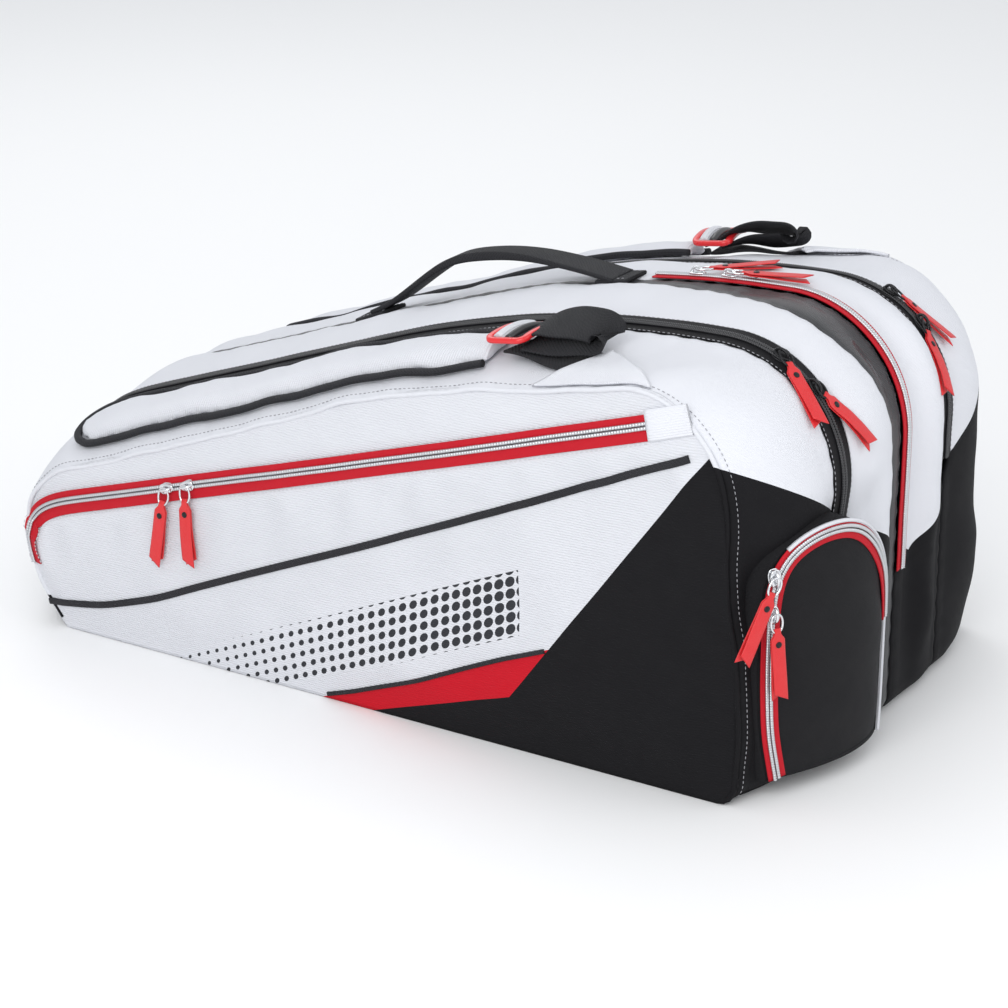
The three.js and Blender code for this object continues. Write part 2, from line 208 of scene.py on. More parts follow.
# cloth: ribs are a sine of the distance across them, weave is two crossed sines, both in true size
def clothHeight(look, ribPitch, ribShare, weavePitch):
    across, along, _ = look.split(look.make("UVMap", {"uv_map": "cloth"}))
    weave = look.wave(across, weavePitch) * look.wave(along, weavePitch)
    return look.wave(along, ribPitch) * ribShare + weave * 0.35 + look.noise(900.0) * 0.5


# the colour, mixed towards pale grey by cloudy noise times the amount
def shaded(look, color, amount=0.06, scale=7.0):
    cloud = look.noise(scale, 4.0)
    return look.mix(cloud * amount, color, (0.45, 0.45, 0.5, 1.0))


# woven cloth: ribs and threads as height, a cloudy colour and a slightly uneven roughness
def clothLook(name, colorName, ribPitch=0.0022, ribShare=0.6, depth=0.00035, roughness=0.72):
    look = Look(name)
    height = clothHeight(look, ribPitch, ribShare, 0.0009)
    look.bump(height, depth)
    rough = look.noise(60.0) * 0.12 + (roughness - 0.06)
    amount = 0.06 if colorName == "white" else 0.008
    return look.finish(shaded(look, clothColors[colorName], amount), rough, Specular_IOR_Level=0.25)


# a straight line in a plane: 1 on the side its left-hand normal points to
def beyond(a, b, first, second):
    (a0, b0), (a1, b1) = first, second
    return ((b - b0) * (a1 - a0) - (a - a0) * (b1 - b0)) > 0.0


sideZones = {
    "block": ((0.0995, -0.007), (0.317, 0.291)),
    "hem": ((-0.040, 0.005), (0.174, 0.0985)),
    "red": ((0.012, 0.004), (0.150, 0.0525)),
    "dotPitch": 0.0105,
    "dotRange": (-0.275, 0.150),
    "dotSlope": 0.44,
}
endZones = {"near": ((-0.200, 0.272), (0.035, 0.140)), "far": ((0.035, 0.140), (0.216, 0.282))}


# side cloth: white, black behind the slanted block line and below the hem line, a red wedge between them, and
# a row of round printed dots that grow towards the head end
def sideLook():
    look = Look("side_cloth")
    x, _, z = look.split(look.place())
    block = 1.0 - beyond(x, z, *sideZones["block"])
    hem = 1.0 - beyond(x, z, *sideZones["hem"])
    red = beyond(x, z, *sideZones["red"]) * hem
    start, stop = sideZones["dotRange"]
    pitch = sideZones["dotPitch"]
    grow = (x - start) * (1.0 / (stop - start))
    level = z - x * sideZones["dotSlope"]
    column = look.maths("FRACT", look.maths("ADD", x * (1.0 / pitch), 100.0)) - 0.5
    row = look.maths("FRACT", look.maths("ADD", level * (1.0 / pitch), 100.0)) - 0.5
    radius = look.maths("SQRT", column * column + row * row)
    band = (level > 0.040) * (level < 0.098) * (x > start) * (x < stop)
    dots = (radius < (grow * 0.34 + 0.10)) * band
    white = shaded(look, clothColors["white"])
    printed = look.mix(dots, white, clothColors["print"])
    dark = look.maths("MAXIMUM", block, hem)
    color = look.mix(dark, printed, clothColors["black"])
    color = look.mix(red * (1.0 - block), color, clothColors["red"])
    look.bump(clothHeight(look, 0.0022, 0.6, 0.0009) * (1.0 - dark * 0.5), 0.00035)
    return look.finish(color, look.noise(60.0) * 0.12 + 0.70, Specular_IOR_Level=0.22)


# top cloth: white, and black below the two slanted lines that meet in the valley of the head end
def lobeLook(name):
    look = Look(name)
    x, y, z = look.split(look.place())
    near = 1.0 - beyond(y, z, *endZones["near"])
    far = 1.0 - beyond(y, z, *endZones["far"])
    head = x > 0.20
    tail = (z < 0.028) * (x < 0.0)
    dark = look.maths("MAXIMUM", look.maths("MAXIMUM", near, far) * head, tail)
    color = look.mix(dark, shaded(look, clothColors["white"]), clothColors["black"])
    look.bump(clothHeight(look, 0.0011, 0.25, 0.0008) * (1.0 - dark * 0.4), 0.00025)
    return look.finish(color, look.noise(60.0) * 0.12 + 0.70, Specular_IOR_Level=0.22)


# coated mesh: its holes are the product of two crossed diagonal waves
def meshLook():
    look = Look("coated_mesh")
    across, along, _ = look.split(look.make("UVMap", {"uv_map": "cloth"}))
    holes = look.wave(across + along, 0.0026) * look.wave(across - along, 0.0026)
    look.bump(holes + look.noise(400.0) * 0.4 + look.noise(26.0, 5.0) * 9.0, 0.0004)
    color = look.mix(holes * 0.5 + 0.5, (0.012, 0.012, 0.014, 1), (0.05, 0.052, 0.058, 1))
    return look.finish(color, look.noise(12.0) * 0.3 + 0.25, Coat_Weight=0.25)


# webbing: its height is a wave along it times a slanted one, plus fine noise
def webbingLook(name, color):
    look = Look(name)
    across, along, _ = look.split(look.make("UVMap", {"uv_map": "cloth"}))
    height = look.wave(along, 0.0024) * look.wave(across + along * 0.5, 0.0031) + look.noise(900.0) * 0.3
    look.bump(height, 0.0005)
    return look.finish(shaded(look, color, 0.04), look.noise(50.0) * 0.15 + 0.6, Specular_IOR_Level=0.3)


# leather: cell grain plus noise as height, with a brighter red mixed in by noise
def leatherLook(name, color):
    look = Look(name)
    grain = look.make("TexVoronoi", sockets={"Vector": look.place(), "Scale": 950.0})
    look.bump(grain + look.noise(300.0) * 0.6, 0.00025)
    worn = look.noise(90.0) * 0.25
    tone = look.mix(worn, color, (0.75, 0.05, 0.05, 1))
    return look.finish(tone, look.noise(200.0) * 0.2 + 0.34, Coat_Weight=0.1)


# metal: its colour mixed by noise with 0.55 of itself
def metalLook(name, color, roughness, metallic=1.0):
    look = Look(name)
    look.bump(look.noise(500.0), 0.0001)
    tone = look.mix(look.noise(80.0) * 0.2, color, tuple(0.55 * c for c in color[:3]) + (1.0,))
    return look.finish(tone, look.noise(150.0) * 0.15 + roughness, metallic)


# plastic: faint noise under a thin clear coat
def plasticLook(name, color, roughness=0.3):
    look = Look(name)
    look.bump(look.noise(700.0), 0.00008)
    return look.finish(shaded(look, color, 0.03, 40.0), look.noise(120.0) * 0.1 + roughness, Coat_Weight=0.2)


looks = {
    "side": sideLook(),
    "lobe": lobeLook("top_cloth"),
    "white": clothLook("white_cloth", "white"),
    "black": clothLook("black_twill", "black", 0.0012, 0.3, 0.0003, 0.7),
    "lining": clothLook("dark_lining", "black", 0.003, 0.2, 0.0002, 0.6),
    "redTape": clothLook("red_tape", "red", 0.0008, 0.4, 0.0002, 0.6),
    "blackTape": clothLook("black_tape", "black", 0.0008, 0.4, 0.0002, 0.6),
    "mesh": meshLook(),
    "webbing": webbingLook("black_webbing", (0.011, 0.011, 0.013, 1)),
    "binding": webbingLook("black_binding", (0.014, 0.014, 0.017, 1)),
    "ribbed": clothLook("white_ribbed", "white", 0.0020, 1.0, 0.00016, 0.7),
    "leather": leatherLook("red_leather", (0.60, 0.010, 0.014, 1)),
    "silver": metalLook("silver_metal", (0.78, 0.79, 0.81, 1), 0.14),
    "coil": metalLook("silver_coil", (0.62, 0.63, 0.65, 1), 0.28),
    "blackCoil": plasticLook("black_coil", (0.012, 0.012, 0.014, 1), 0.32),
    "blackMetal": metalLook("black_metal", (0.02, 0.02, 0.022, 1), 0.25, 0.6),
    "redPlastic": plasticLook("red_plastic", (0.66, 0.012, 0.016, 1), 0.24),
    "blackPlastic": plasticLook("black_plastic", (0.015, 0.015, 0.017, 1), 0.35),
    "stitch": plasticLook("pale_thread", (0.30, 0.30, 0.32, 1), 0.6),
    "whiteStitch": plasticLook("white_thread", (0.62, 0.63, 0.66, 1), 0.6),
}
print("materials are mixed")


# meshes from numpy

bothSides = (("near", -1), ("far", 1))


# a soft step from 0 to 1 between low and high: 3 t squared minus 2 t cubed
def smoothStep(value, low, high):
    t = np.clip((np.asarray(value, float) - low) / (high - low), 0, 1)
    return t * t * (3 - 2 * t)


# each vector divided by its length
def unit(vectors):
    return vectors / np.maximum(np.linalg.norm(vectors, axis=-1, keepdims=True), 1e-12)


# a bell: e to the power of minus the square of distance / width
def bell(distance, width):
    return np.exp(-((distance / width) ** 2))


# a sine wave of the distance, one full wave for each pitch
def ripple(distance, pitch, phase=0.0):
    return np.sin(2 * math.pi * distance / pitch + phase)


# the length walked along a path at each of its points
def runAlong(path):
    return np.concatenate(([0], np.cumsum(np.linalg.norm(np.diff(path, axis=0), axis=1))))


# a mesh object from points and quads, with its material and cloth coordinates
def meshPiece(name, points, quads, look, uv=None, smooth=True):
    points = np.asarray(points, float).reshape(-1, 3)
    quads = np.asarray(quads, np.int32).reshape(-1, 4)
    mesh = bpy.data.meshes.new(name)
    mesh.vertices.add(len(points))
    mesh.vertices.foreach_set("co", points.ravel())
    mesh.loops.add(quads.size)
    mesh.loops.foreach_set("vertex_index", quads.ravel())
    mesh.polygons.add(len(quads))
    mesh.polygons.foreach_set("loop_start", np.arange(0, quads.size, 4, dtype=np.int32))
    mesh.update(calc_edges=True)
    layer = mesh.uv_layers.new(name="cloth")
    flat = points[:, :2] if uv is None else np.asarray(uv, float).reshape(-1, 2)
    layer.data.foreach_set("uv", flat[quads.ravel()].ravel())
    mesh.validate()
    if smooth:
        mesh.polygons.foreach_set("use_smooth", np.ones(len(mesh.polygons), bool))
    mesh.materials.append(looks[look])
    piece = bpy.data.objects.new(name, mesh)
    bpy.context.collection.objects.link(piece)
    return piece


# quads of a grid whose rows and columns may close on themselves
def gridQuads(rows, columns, closeRows=False, closeColumns=False):
    r = np.arange(rows if closeRows else rows - 1)
    c = np.arange(columns if closeColumns else columns - 1)
    r, c = np.meshgrid(r, c, indexing="ij")
    nextRow, nextColumn = (r + 1) % rows, (c + 1) % columns
    here, there = r * columns, nextRow * columns
    corners = [here + c, there + c, there + nextColumn, here + nextColumn]
    return np.stack(corners, -1).reshape(-1, 4)


# a wall of this thickness, grown inwards from the faces
def thicken(piece, thickness):
    wall = piece.modifiers.new("thickness", "SOLIDIFY")
    wall.thickness = thickness
    wall.offset = -1.0
    return wall


# a sheet from a grid of points, with its true-size cloth coordinates, thickened inwards
def sheetPiece(name, points, uv, look, thickness=0.003, lining=None, outward=1):
    rows, columns = points.shape[:2]
    quads = gridQuads(rows, columns)
    if outward < 0:
        quads = quads[:, ::-1]
    piece = meshPiece(name, points, quads, look, uv)
    wall = thicken(piece, thickness)
    if lining:
        piece.data.materials.append(looks[lining])
        wall.material_offset = 1
    return piece


# a closed profile carried along a path: each point is path + across * profile x + out * profile y
def sweptPoints(path, across, out, profile):
    profile = np.broadcast_to(profile, (len(path),) + np.shape(profile)[-2:])
    return path[:, None] + across[:, None] * profile[..., :1] + out[:, None] * profile[..., 1:]


# a closed mesh has its faces turned outwards when the sum of its corner volumes is negative
def outwardQuads(points, quads):
    a, b, c, d = (points[quads[:, k]] for k in range(4))
    volume = np.einsum("ij,ij->i", a, np.cross(b, c)).sum() + np.einsum("ij,ij->i", a, np.cross(c, d)).sum()
    return quads if volume > 0 else quads[:, ::-1]


# rows of a closed profile with both ends closed on their middle points
def cappedMesh(rings):
    rows, columns = rings.shape[:2]
    middles = rings[[0, -1]].mean(axis=1)
    points = np.concatenate((rings.reshape(-1, 3), middles))
    sides = gridQuads(rows, columns, closeColumns=True)
    c = np.arange(0, columns, 2)
    first, second, third = c, (c + 1) % columns, (c + 2) % columns
    last = (rows - 1) * columns
    start = np.stack((np.full_like(c, rows * columns), first, second, third), -1)
    finish = np.stack((np.full_like(c, rows * columns + 1), last + third, last + second, last + first), -1)
    return points, np.concatenate((sides, start, finish))


# a swept profile as a closed piece; its cloth coordinates are the lengths along and around it
def sweptPiece(name, path, across, out, profile, look):
    rings = sweptPoints(path, across, out, profile)
    points, quads = cappedMesh(rings)
    inside = np.einsum("ij,ij->i", np.cross(path[1:2] - path[:1], across[:1]), out[:1])[0]
    if inside > 0:
        quads = quads[:, ::-1]
    run = runAlong(path)
    around = runAlong(rings[0])
    uv = np.stack(np.broadcast_arrays(run[:, None], around[None]), -1).reshape(-1, 2)
    uv = np.concatenate((uv, uv[:1], uv[-1:]))
    return meshPiece(name, points, quads, look, uv)


# a rounded box outline with 4 * steps points: half width, half height, corner radius
def roundedProfile(halfWidth, halfHeight, radius, steps=3):
    angles = np.concatenate([np.linspace(q, q + 0.5, steps) for q in (0, 0.5, 1, 1.5)]) * math.pi
    signX = np.repeat([1, -1, -1, 1], steps)
    signY = np.repeat([1, 1, -1, -1], steps)
    x = signX * (halfWidth - radius) + radius * np.cos(angles)
    y = signY * (halfHeight - radius) + radius * np.sin(angles)
    return np.stack((x, y), -1)


# a circle of evenly spaced points
def roundProfile(radius, sides=10):
    angles = np.arange(sides) * (2 * math.pi / sides)
    return radius * np.stack((np.cos(angles), np.sin(angles)), -1)


# evenly spaced points along a polyline, with its corners rounded by repeated averaging
def evenPath(points, spacing, rounding=0):
    points = np.asarray(points, float)
    length = runAlong(points)
    count = max(int(length[-1] / spacing), 2)
    target = np.linspace(0, length[-1], count + 1)
    path = np.stack([np.interp(target, length, points[:, k]) for k in range(points.shape[1])], -1)
    for _ in range(rounding):
        path[1:-1] = (path[:-2] + 2 * path[1:-1] + path[2:]) / 4
    return path


# the bag's surface

bagShape = {
    "halfWidth": 0.216, "headEnd": 0.375, "height": 0.356, "corner": 0.107, "crown": 0.950,
    "crownAngle": 19.5, "nose": 0.108, "noseTip": -0.402, "noseHeight": 0.100, "heel": -0.362,
    "sole": 0.018, "shoulderDrop": 0.038, "endTaper": 0.028, "rimAtNose": 0.014, "rimAtHead": 0.211,
    "zip": 0.100, "tape": 0.012, "middleZip": 0.014,
}


# points on an arc: center plus radius times cosine and sine
def arcPoints(center, radius, start, stop, count=60):
    angles = np.radians(np.linspace(start, stop, count))
    return np.stack((center[0] + radius * np.cos(angles), center[1] + radius * np.sin(angles)), -1)


# the middle line from the side, evenly spaced: heel, nose curve, long crown arc, corner arc and sole arc
def bagOutline():
    b = bagShape
    t = np.linspace(0, 1, 40)[:, None]
    heel, bend, tip = (b["heel"], 0.0), (b["noseTip"], 0.040), (b["noseTip"], b["noseHeight"])
    belly = (1 - t) ** 2 * np.array(heel) + 2 * t * (1 - t) * np.array(bend) + t ** 2 * np.array(tip)
    cornerX, cornerZ = b["headEnd"] - b["corner"], b["height"] - b["corner"]
    nose = arcPoints((b["noseTip"] + b["nose"], b["noseHeight"]), b["nose"], 180, 90 + b["crownAngle"])
    crown = arcPoints((cornerX, b["height"] - b["crown"]), b["crown"], 90 + b["crownAngle"], 90)
    corner = arcPoints((cornerX, cornerZ), b["corner"], 90, 0)
    sole = arcPoints((b["headEnd"] - b["sole"], b["sole"]), b["sole"], 0, -90, 20)
    return evenPath(np.concatenate((belly, nose, crown, corner, sole)), 0.002, 6)


outline = bagOutline()
outlineRun = runAlong(outline)
totalRun = outlineRun[-1]


# x and z of the middle line at a run, read off between its points
def outlineAt(run):
    return [np.interp(run, outlineRun, outline[:, k]) for k in (0, 1)]


# the run where the middle line is nearest to x, or to z in its head or its nose part
def runWhere(x=None, z=None, head=True):
    order = outlineRun > totalRun * (0.62 if z is not None and head else 0.0)
    if z is not None and not head:
        order = outlineRun < totalRun * 0.25
    column, value = (0, x) if x is not None else (1, z)
    near = np.where(order, np.abs(outline[:, column] - value), 9.0)
    return float(outlineRun[np.argmin(near)])


runs = {
    "rimHead": runWhere(z=bagShape["rimAtHead"]),
    "rimNose": runWhere(z=0.024, head=False),
    "cornerStart": runWhere(x=bagShape["headEnd"] - bagShape["corner"]),
    "middleZip": runWhere(x=0.140),
    "middleZipEnd": runWhere(z=0.132),
}
headWidth = 0.12


# the top drops towards the sides, less at the outer shoulders of the head end, and the ends draw in towards
# the sides
def bareSurface(run, y):
    b = bagShape
    x, z = outlineAt(run)
    side = np.abs(y) / b["halfWidth"]
    upper = np.clip((z - 0.08) / 0.12, 0, 1)
    end = np.clip(x / 0.25, -1, 1)
    outer = smoothStep(np.abs(y), 0.125, 0.200)
    shoulder = 1 - 0.45 * bell(x - 0.30, 0.07) * (z > 0.15) * outer
    waist = b["endTaper"] + 0.014 * bell(z - 0.24, 0.08) * (x > 0)
    drop = b["shoulderDrop"] * shoulder * side ** 1.8 * upper
    return np.stack((x - waist * side ** 4 * end, y + 0 * x, z - drop), -1)


# each lobe: its two seams, and how far it swells on top and at the head end
lobeSwell = {
    "lobes": ((-0.216, -0.113, 0.003, 0.009), (-0.088, -0.010, 0.0035, 0.009), (0.026, 0.088, 0.0035, 0.010),
              (0.113, 0.216, 0.003, 0.011)),
    "valley": 0.008, "valleyAt": 0.040, "valleyWidth": 0.013,
}


# each lobe between two seams swells as a power of a sine, more at the head end; a narrow valley lies past the
# middle zip, and the near lobe stays flat under the end pocket
def swelling(run, y):
    head = smoothStep(run, runs["cornerStart"] - 0.02, runs["cornerStart"] + headWidth)
    ends = smoothStep(run, 0, 0.06) * (1 - smoothStep(run, totalRun - 0.10, totalRun))
    total = 0
    for low, high, top, front in lobeSwell["lobes"]:
        crown = np.sin(math.pi * np.clip((y - low) / (high - low), 0, 1)) ** 1.05
        total = total + crown * (top + (front - top) * head)
    valley = lobeSwell["valley"] * bell(y - lobeSwell["valleyAt"], lobeSwell["valleyWidth"]) * head
    height = outlineAt(run)[1]
    pocket = smoothStep(-y, 0.030, 0.060) * (1 - smoothStep(height, 0.205, 0.250)) * head
    pocket = pocket * smoothStep(y, -0.214, -0.200)
    return (total * (1 - 0.8 * pocket) - valley) * ends - 0.004 * pocket


# each fold: wave length, slant, height and phase
foldWaves = {"long": (0.21, 0.5, 0.0009, 0.4), "middle": (0.13, -0.9, 0.0007, 1.9),
             "short": (0.083, 0.35, 0.0005, 3.1), "fine": (0.051, -0.5, 0.0003, 0.9)}


# soft folds: a sum of slanted sine waves that fades out near the zips
def folds(run, y, strength=1.0):
    waves = 0
    for length, slope, size, phase in foldWaves.values():
        waves = waves + size * ripple(run + slope * y, length, phase)
    zips = np.minimum(np.abs(np.abs(y) - bagShape["zip"]), np.abs(y - bagShape["middleZip"]))
    return waves * strength * (0.12 + 0.88 * smoothStep(zips, 0.008, 0.034))


slopeStep = 0.002  # half the distance over which slopes are measured


# the bare surface moved along its normal by swelling, folds and lift
def bagSurface(run, y, lift=0.0):
    step = slopeStep
    along = bareSurface(run + step, y) - bareSurface(run - step, y)
    across = bareSurface(run, y + step) - bareSurface(run, y - step)
    normal = unit(np.cross(along, across))
    rise = swelling(run, y) + folds(run, y) + lift
    return bareSurface(run, y) + normal * np.asarray(rise)[..., None], normal


# a piece on a side (-1 or 1) has its transform baked where it lies
def bendAtRim(piece, side):
    middle = np.array((bagShape["noseTip"], side * bagShape["halfWidth"], bagShape["rimAtNose"]))
    "near_flap" if side < 0 else "far_flap"
    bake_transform(piece)


# a piece with a side as owner (-1 or 1) has its transform baked, any other owner carries it as one body; the
# nodes it replaces are hidden
def hold(piece, owner, slot, *nodes):
    if owner in (-1, 1):
        bendAtRim(piece, owner)
    else:
        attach(piece, owner)
    if nodes:
        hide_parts(*nodes)
    return piece


strip = {
    "spacing": 0.006, "thickness": 0.004, "tuck": 0.0015, "tuckWidth": 0.004,
    "pucker": 0.0005, "pitch": 0.021,
}


# a fabric strip of the bag between two edges that may move along it; beside its seams it tucks in as a bell
# and puckers as a sine
def fabricStrip(name, lowEdge, highEdge, look, columns, lift=0.0):
    rows = max(int(totalRun / strip["spacing"]), 4)
    run = np.linspace(0.0, totalRun, rows)
    low, high = lowEdge(run), highEdge(run)
    t = np.linspace(0, 1, columns)[None]
    y = low[:, None] + (high - low)[:, None] * t
    runGrid = np.repeat(run[:, None], columns, 1)
    edge = np.minimum(np.abs(y - low[:, None]), np.abs(high[:, None] - y))
    tuck = -strip["tuck"] * bell(edge, strip["tuckWidth"])
    pucker = strip["pucker"] * ripple(runGrid, strip["pitch"]) * np.exp(-edge / 0.010)
    points, _ = bagSurface(runGrid, y, lift + tuck + pucker)
    uv = np.stack((y, runGrid), -1)
    return sheetPiece(name, points, uv, look, strip["thickness"], "lining")


# an edge at the same y all along the bag
def steady(value):
    return lambda run: np.full_like(run, value)


# the edge runs beside the zip where there is one and closes on the zip's middle line where there is none
def besideZip(side, away):
    b = bagShape

    def edge(run):
        started = smoothStep(run, runs["rimNose"] - 0.03, runs["rimNose"])
        inZip = started * (1 - smoothStep(run, runs["rimHead"], runs["rimHead"] + 0.03))
        return side * (b["zip"] + away * (0.0006 + (b["tape"] - 0.001) * inZip))
    return edge


meshBand = {"low": -0.012, "high": 0.006, "bulge": 0.034, "bulgeLength": 0.085}


# the mesh band widens to one side round the corner, as a bell of the distance along the bag
def bandEdge(run):
    middle = runs["cornerStart"] + 0.045
    return meshBand["low"] - meshBand["bulge"] * bell(run - middle, meshBand["bulgeLength"])


# the far edge steps out beside the middle zip and back at its end
def farBandEdge(run):
    started = smoothStep(run, runs["middleZip"] - 0.004, runs["middleZip"] + 0.004)
    over = smoothStep(run, runs["middleZipEnd"] - 0.003, runs["middleZipEnd"] + 0.003)
    return meshBand["high"] + 0.0160 * started * (1 - over)


# two outer lobes, two center panels and the mesh band between them
def addTop():
    for name, side in bothSides:
        outer, inner = steady(side * bagShape["halfWidth"]), besideZip(side, 1)
        low, high = (outer, inner) if side < 0 else (inner, outer)
        lobe = fabricStrip(name + "_lobe", low, high, "lobe", 34)
        hold(lobe, side, "white_fabric", name + "_side_flap")
    near = fabricStrip("near_center", besideZip(-1, -1), bandEdge, "lobe", 30)
    far = fabricStrip("far_center", farBandEdge, besideZip(1, -1), "lobe", 30)
    band = fabricStrip("mesh_band", bandEdge, steady(meshBand["high"]), "mesh", 18, -0.0008)
    hold(near, "bag_body", "white_fabric", "near_center_panel")
    hold(far, "bag_body", "white_fabric", "far_center_panel")
    hold(band, "bag_body", "mesh_band", "center_band")


addTop()
print("top panels are sewn")


# the sides

sideShape = {
    "bulge": 0.0075, "fade": 0.055, "dimples": 0.0019, "groove": 0.0012, "folds": 1.3, "thickness": 0.004,
    "columns": 150, "rows": 70,
}


# the outline of a side, with its points furthest to the nose and to the head end
def sideEdges():
    edge = bareSurface(outlineRun, np.full_like(outlineRun, bagShape["halfWidth"]))
    tip = int(np.argmin(edge[:, 0]))
    far = int(np.argmax(edge[:, 0]))
    return edge, tip, far


sideEdge, tipIndex, farIndex = sideEdges()


# the height of the side's upper edge at x
def sideTop(x):
    upper = sideEdge[tipIndex:farIndex + 1]
    return np.interp(x, upper[:, 0], upper[:, 2])


# the height of the side's lower edge at x, a quarter circle of the sole's radius at the head end
def sideBottom(x):
    lower = sideEdge[:tipIndex + 1][::-1]
    bottom = np.interp(x, lower[:, 0], lower[:, 2], right=0.0)
    sole = bagShape["sole"]
    turn = np.clip(x - (sideEdge[farIndex, 0] - sole), 0, sole)
    return bottom + sole - np.sqrt(sole ** 2 - turn ** 2)


# the side stands out from its plane by a soft bulge that fades at its edges, with shallow folds and dimples
def sideDepth(x, z):
    room = np.minimum(sideTop(x) - z, z - sideBottom(x))
    room = np.minimum(room, sideEdge[farIndex, 0] - x)
    fade = smoothStep(room, -0.004, sideShape["fade"])
    zipLine = sideZipHeight(x)
    away = np.abs(z - zipLine)
    near = bell(away, 0.055) * smoothStep(away, 0.012, 0.030)
    dimples = sideShape["dimples"] * near * ripple(x + 0.25 * z, 0.047) * ripple(x - 0.8 * z, 0.119, 0.7)
    groove = -sideShape["groove"] * (1 - smoothStep(away, 0.0125, 0.0165))
    groove = groove * (1 - smoothStep(x, sideZip["stop"], sideZip["stop"] + 0.01))
    calm = 0.25 + 0.75 * smoothStep(away, 0.008, 0.035)
    return sideShape["bulge"] * fade + (folds(x, z, sideShape["folds"]) * calm + dimples) * fade + groove


sideZip = {"start": -0.360, "stop": 0.262, "height": 0.1143, "slope": 0.307}


# the side zip's straight line: its first height plus slope times the distance in x
def sideZipHeight(x):
    return sideZip["height"] + (x - sideZip["start"]) * sideZip["slope"]


# a point on a side: y is the half width plus the side's depth and the lift
def sidePoint(x, z, side, lift=0.0):
    y = side * (bagShape["halfWidth"] + sideDepth(x, z) + lift)
    return np.stack(np.broadcast_arrays(x, y, z), -1)


# columns stand closer at the nose; rows run evenly from the lower to the upper edge
def addSides():
    x0, x1 = sideEdge[tipIndex, 0], sideEdge[farIndex, 0]
    t = np.linspace(0, 1, sideShape["columns"])
    x = x0 + (x1 - x0) * (t * t * (1.5 - 0.5 * t) * 0.35 + t * 0.65)
    v = np.linspace(0, 1, sideShape["rows"])[:, None]
    low, high = sideBottom(x), sideTop(x)
    z = low + (high - low) * v
    xGrid = np.broadcast_to(x, z.shape)
    for name, side in bothSides:
        points = sidePoint(xGrid, z, side)
        uv = np.stack((xGrid, z), -1)
        panel = sheetPiece(name + "_side_cloth", points, uv, "side", sideShape["thickness"], "lining", side)
        hold(panel, side, "white_fabric", "near_side_pocket" if side < 0 else "far_side_panel")


addSides()


# the floor: straight lines from the edge at the heel to the edge at the head end
def addFloor():
    t = np.linspace(-1, 1, 30)
    run = np.linspace(0, 1, 40)[:, None]
    y = t * bagShape["halfWidth"] * np.ones_like(run)
    heel = bareSurface(np.zeros_like(y), y)
    toe = bareSurface(np.full_like(y, totalRun), y)
    points = heel + (toe - heel) * run[..., None]
    points[..., 2] = 0.0004
    piece = sheetPiece("floor_panel", points, points[..., :2], "black", 0.004, "lining", -1)
    hold(piece, "bag_body", "black_fabric", "base_tub")


addFloor()
print("sides and floor are sewn")

for node in ("base_board", "near_divider", "far_divider"):
    for index in range(len(frame["nodes"][node].material_slots)):
        frame["nodes"][node].material_slots[index].material = looks["lining"]


# ribbons, tubes and zip coils laid on the bag

# the run along the bag where its middle line reaches x
def runAtX(x):
    tip, far = int(np.argmin(outline[:, 0])), int(np.argmax(outline[:, 0]))
    return np.interp(x, outline[tip:far, 0], outlineRun[tip:far])


# a path with its across and outward directions, from points and surface normals
def framed(path, normal):
    tangent = unit(np.gradient(path, axis=0))
    across = unit(np.cross(normal, tangent))
    return path, across, np.cross(tangent, across)


# the normal of the swollen surface comes from its slopes along and across the bag
def topPath(run, y, lift=0.0, reach=0.006):
    run = np.asarray(run, float)
    y = np.asarray(y, float) + 0 * run
    path, _ = bagSurface(run, y)
    sideways = bagSurface(run, y + reach)[0] - bagSurface(run, y - reach)[0]
    normal = unit(np.cross(np.gradient(path, axis=0), sideways))
    return framed(path + normal * lift, normal)


# the same on a side, its normal from the slopes of the side's depth
def sidePath(x, z, side, lift=0.0):
    step = slopeStep
    slopeX = (sideDepth(x + step, z) - sideDepth(x - step, z)) / (2 * step)
    slopeZ = (sideDepth(x, z + step) - sideDepth(x, z - step)) / (2 * step)
    normal = unit(np.stack((-slopeX, side + 0 * x, -slopeZ), -1))
    return framed(sidePoint(x, z, side) + normal * lift, normal)


# a flat band on a line of path, across and outward directions, moved sideways by the offset
def ribbon(name, line, halfWidth, thickness, look, offset=0.0):
    path, across, out = line
    profile = roundedProfile(halfWidth, thickness / 2, min(halfWidth, thickness / 2) * 0.9) + (offset, 0.0)
    return sweptPiece(name, path, across, out, profile, look)


# rows of x, y, z read off at other places along a line
def threeAt(where, run, values):
    return np.stack([np.interp(where, run, values[:, k]) for k in range(3)], -1)


zipShape = {
    "pitch": 0.0021, "halfCoil": 0.0032, "height": 0.0026, "tape": 0.0014, "gap": 0.0002, "lift": 0.0016,
}


# one half of a zip coil: an oval profile whose size follows a sine along it; the halves are half a pitch
# apart
def coilHalf(name, line, side, look, coarse=1.0):
    path, across, out = line
    length = np.linalg.norm(np.diff(path, axis=0), axis=1).sum()
    pitch = zipShape["pitch"] * coarse
    rows = int(length / pitch * 4)
    at = np.linspace(0, len(path) - 1, rows)
    index = np.arange(len(path))
    fine = [threeAt(at, index, part) for part in (path, across, out)]
    swell = 1 + 0.36 * np.sin(np.arange(rows) * math.pi / 2 + side * math.pi / 2)
    width, height = zipShape["halfCoil"] / 2, zipShape["height"] / 2
    angles = np.arange(8) * math.pi / 4
    x = width * np.cos(angles) * (0.85 + 0.15 * swell[:, None]) + side * (width + zipShape["gap"])
    y = height * np.sin(angles) * swell[:, None] + zipShape["lift"]
    return sweptPiece(name, *fine, np.stack((x, y), -1), look)


stitchShape = {"pitch": 0.0045, "length": 0.0026, "radius": 0.00035}


